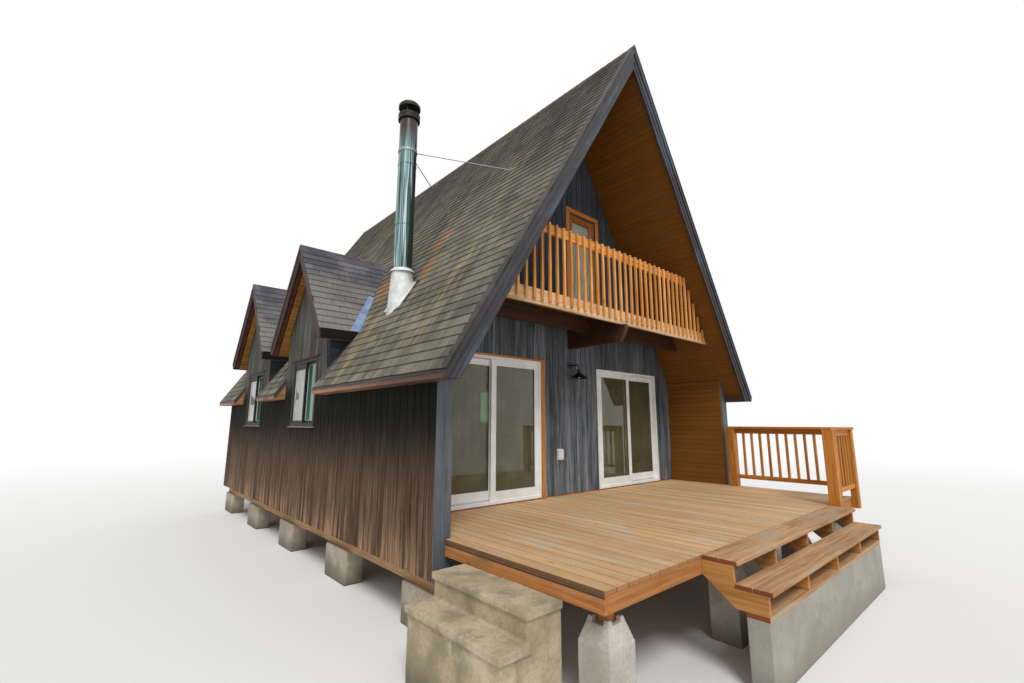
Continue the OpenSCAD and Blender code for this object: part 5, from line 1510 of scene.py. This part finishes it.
# Front stair: stringers cut from laminated timber, with treads of two boards each in two lengths
# that meet over the middle stringer.
stair_x0, stair_x1 = -1.80, 1.915
tread_wood = timber("tread_cedar", "#c29b70", "#976c47", "#a9937c", 0.42, 0.6, rough=0.6,
                    ends=("X", stair_x0, stair_x1, "#7a4221"))
stringer_wood = timber("stringer_fir", "#c68f52", "#9c6a33", "#84603a", 0.2, 0.5, vary=0.15)
whole("stair_stringer_boards", "stair_stringers", 77, stringer_wood, "stringer_wood", along=(0, 1, 0))
treads = Boards(76)
spots = []
for y0, count, width, z0, z1 in ((-3.33, 2, 0.15, deck_z0, deck_z1), (-3.59, 2, 0.1475, 0.729, 0.767),
                                 (-3.555, 1, 0.184, 0.540, 0.578)):
    for k in range(count):
        a, b = y0 + k * width + (0.003 if k else 0.0), y0 + (k + 1) * width - 0.003
        joint = 0.06 if k % 2 else 0.075
        for x0, x1 in ((stair_x0, joint - 0.001), (joint + 0.001, stair_x1)):
            treads.box(x0, x1, a, b, z0, z1, (1, 0, 0), 0.004)
        for n in range(5):
            x = stair_x0 + joist / 2 + n * (stair_x1 - stair_x0 - joist) / 4
            spots += [(x, a + 0.03, z1 + 0.0002), (x, b - 0.03, z1 + 0.0002)]
treads.fit("stair_tread_boards", tread_wood, "deck_wood", "stair_treads")
screwed("stair_screw_heads", spots)


# Railings: posts of cedar with square balusters let into the rails between them, and a flat cap
# board nailed on top.
rail_wood = timber("rail_cedar", "#cb8438", "#9f611f", "#a67a46", 0.12, 0.55, rough=0.5, vary=0.2)
whole("railing_post_set", "railing_posts", 78, rail_wood, "deck_wood", 0.006, (0, 0, 1))
cap_top, cap_low, rail_low, foot_top = 2.007, 1.969, 1.880, 1.150


def run_of(boards, at, start, end, along):
    # One railing run: at() takes the place along it, across it and the height
    gaps = math.ceil((end - start) / 0.15 - 1e-9)
    pitch = (end - start) / gaps
    bars = [(start, end, rail_low, cap_low - 0.001, along), (start, end, 1.080, foot_top, along)]
    for k in range(1, gaps):
        middle = start + k * pitch
        bars.append((middle - 0.019, middle + 0.019, foot_top + 0.0005, rail_low - 0.0005, (0, 0, 1)))
    for a, b, z0, z1, grain in bars:
        ranges = [sorted(pair) for pair in zip(at(a, -0.019, z0), at(b, 0.019, z1))]
        boards.box(*ranges[0], *ranges[1], *ranges[2], grain)


side_rail = Boards(79)
run_of(side_rail, lambda u, v, z: (3.09 + v, -u, z), 1.33, 3.03, (0, 1, 0))
side_rail.box(3.02, deck_x, -3.01, -1.19, cap_low, cap_top, (0, 1, 0), 0.005)
side_rail.fit("side_railing_bars", rail_wood, "deck_wood", "side_railing")
front_rail = Boards(80)
run_of(front_rail, lambda u, v, z: (u, -3.08 + v, z), 2.065, 3.06, (1, 0, 0))
front_rail.box(1.925, deck_x, -3.15, -3.01, cap_low, cap_top, (1, 0, 0), 0.005)
front_rail.fit("front_railing_bars", rail_wood, "deck_wood", "front_railing")


# Side steps: two rough steps of concrete, cast on the ground against the deck's left side, with
# moss and stains all over them.
cast("side_steps", "concrete_steps", 0.010, 0.0028,
     concrete("step_concrete", "#ccbb9f", "#9d8d71", "#6f6753", "#857d66"))


# Barn lamp: a pressed steel shade in black enamel on a bent arm, screwed to the wall by a round
# plate, with a clear bulb under it.
lamp_solid = eased(merged("barn_lamp"), 0.0012, 1, 0.8)
smooth_piece("wall_lamp", lamp_solid, black_enamel, "black_metal", "barn_lamp", angle=0.5)
bulb_profile = [(0.006, 0.0), (0.013, 0.001), (0.0135, -0.022), (0.018, -0.030), (0.028, -0.045),
                (0.031, -0.058), (0.028, -0.072), (0.018, -0.084), (0.006, -0.0885)]
bulb_y, bulb_z = -0.205, 2.877       # axis and top of the bulb
bulb = turned([(r, bulb_z + z) for r, z in bulb_profile], 0.0, bulb_y, 24, False)
capped(bulb)
bulb_glass = surface("warm_bulb_glass", lambda place: {
    "Base Color": place.cloud(30.0, 2.0).rise(0.3, 0.7).pick("#ffe2ad", "#fff0cf"),
    "Emission Color": place.axis("Z").rise(2.79, 2.85).pick("#ffc873", "#ffe3ae"),
    "Roughness": 0.25}, Emission_Strength=1.6)
smooth_piece("lamp_bulb", bulb, bulb_glass, "black_metal", angle=0.8)


# Outlet cover: a weather box moulded in white plastic and screwed to the wall, with a hinged lid
# and a rounded finger lip.
cover = Boards(81)
cover.box(-0.345, -0.215, -0.014, 0.0, 1.4825, 1.6575, (0, 0, 1))
cover.box(-0.339, -0.221, -0.044, -0.014, 1.4885, 1.6515, (0, 0, 1), 0.006)
cover.box(-0.332, -0.228, -0.050, -0.044, 1.500, 1.640, (0, 0, 1))
cover.box(-0.300, -0.260, -0.050, -0.040, 1.486, 1.492, (1, 0, 0), 0.002)
for z in (1.600, 1.540):
    cover.box(-0.3475, -0.3385, -0.036, -0.014, z, z + 0.022, (0, 0, 1), 0.002)


def plastic_look(place):
    haze = place.cloud(25.0, 4.0, 0.6)
    return {"Base Color": haze.rise(0.3, 0.75).pick("#e4e3de", "#cfcdc5"), "Roughness": 0.45 + 0.1 * haze,
            "Normal": place.cloud(500.0, 2.0).relief(0.0003)}


cover.fit("outlet_box", surface("outlet_plastic", plastic_look), "outlet_plastic", "outlet_cover")
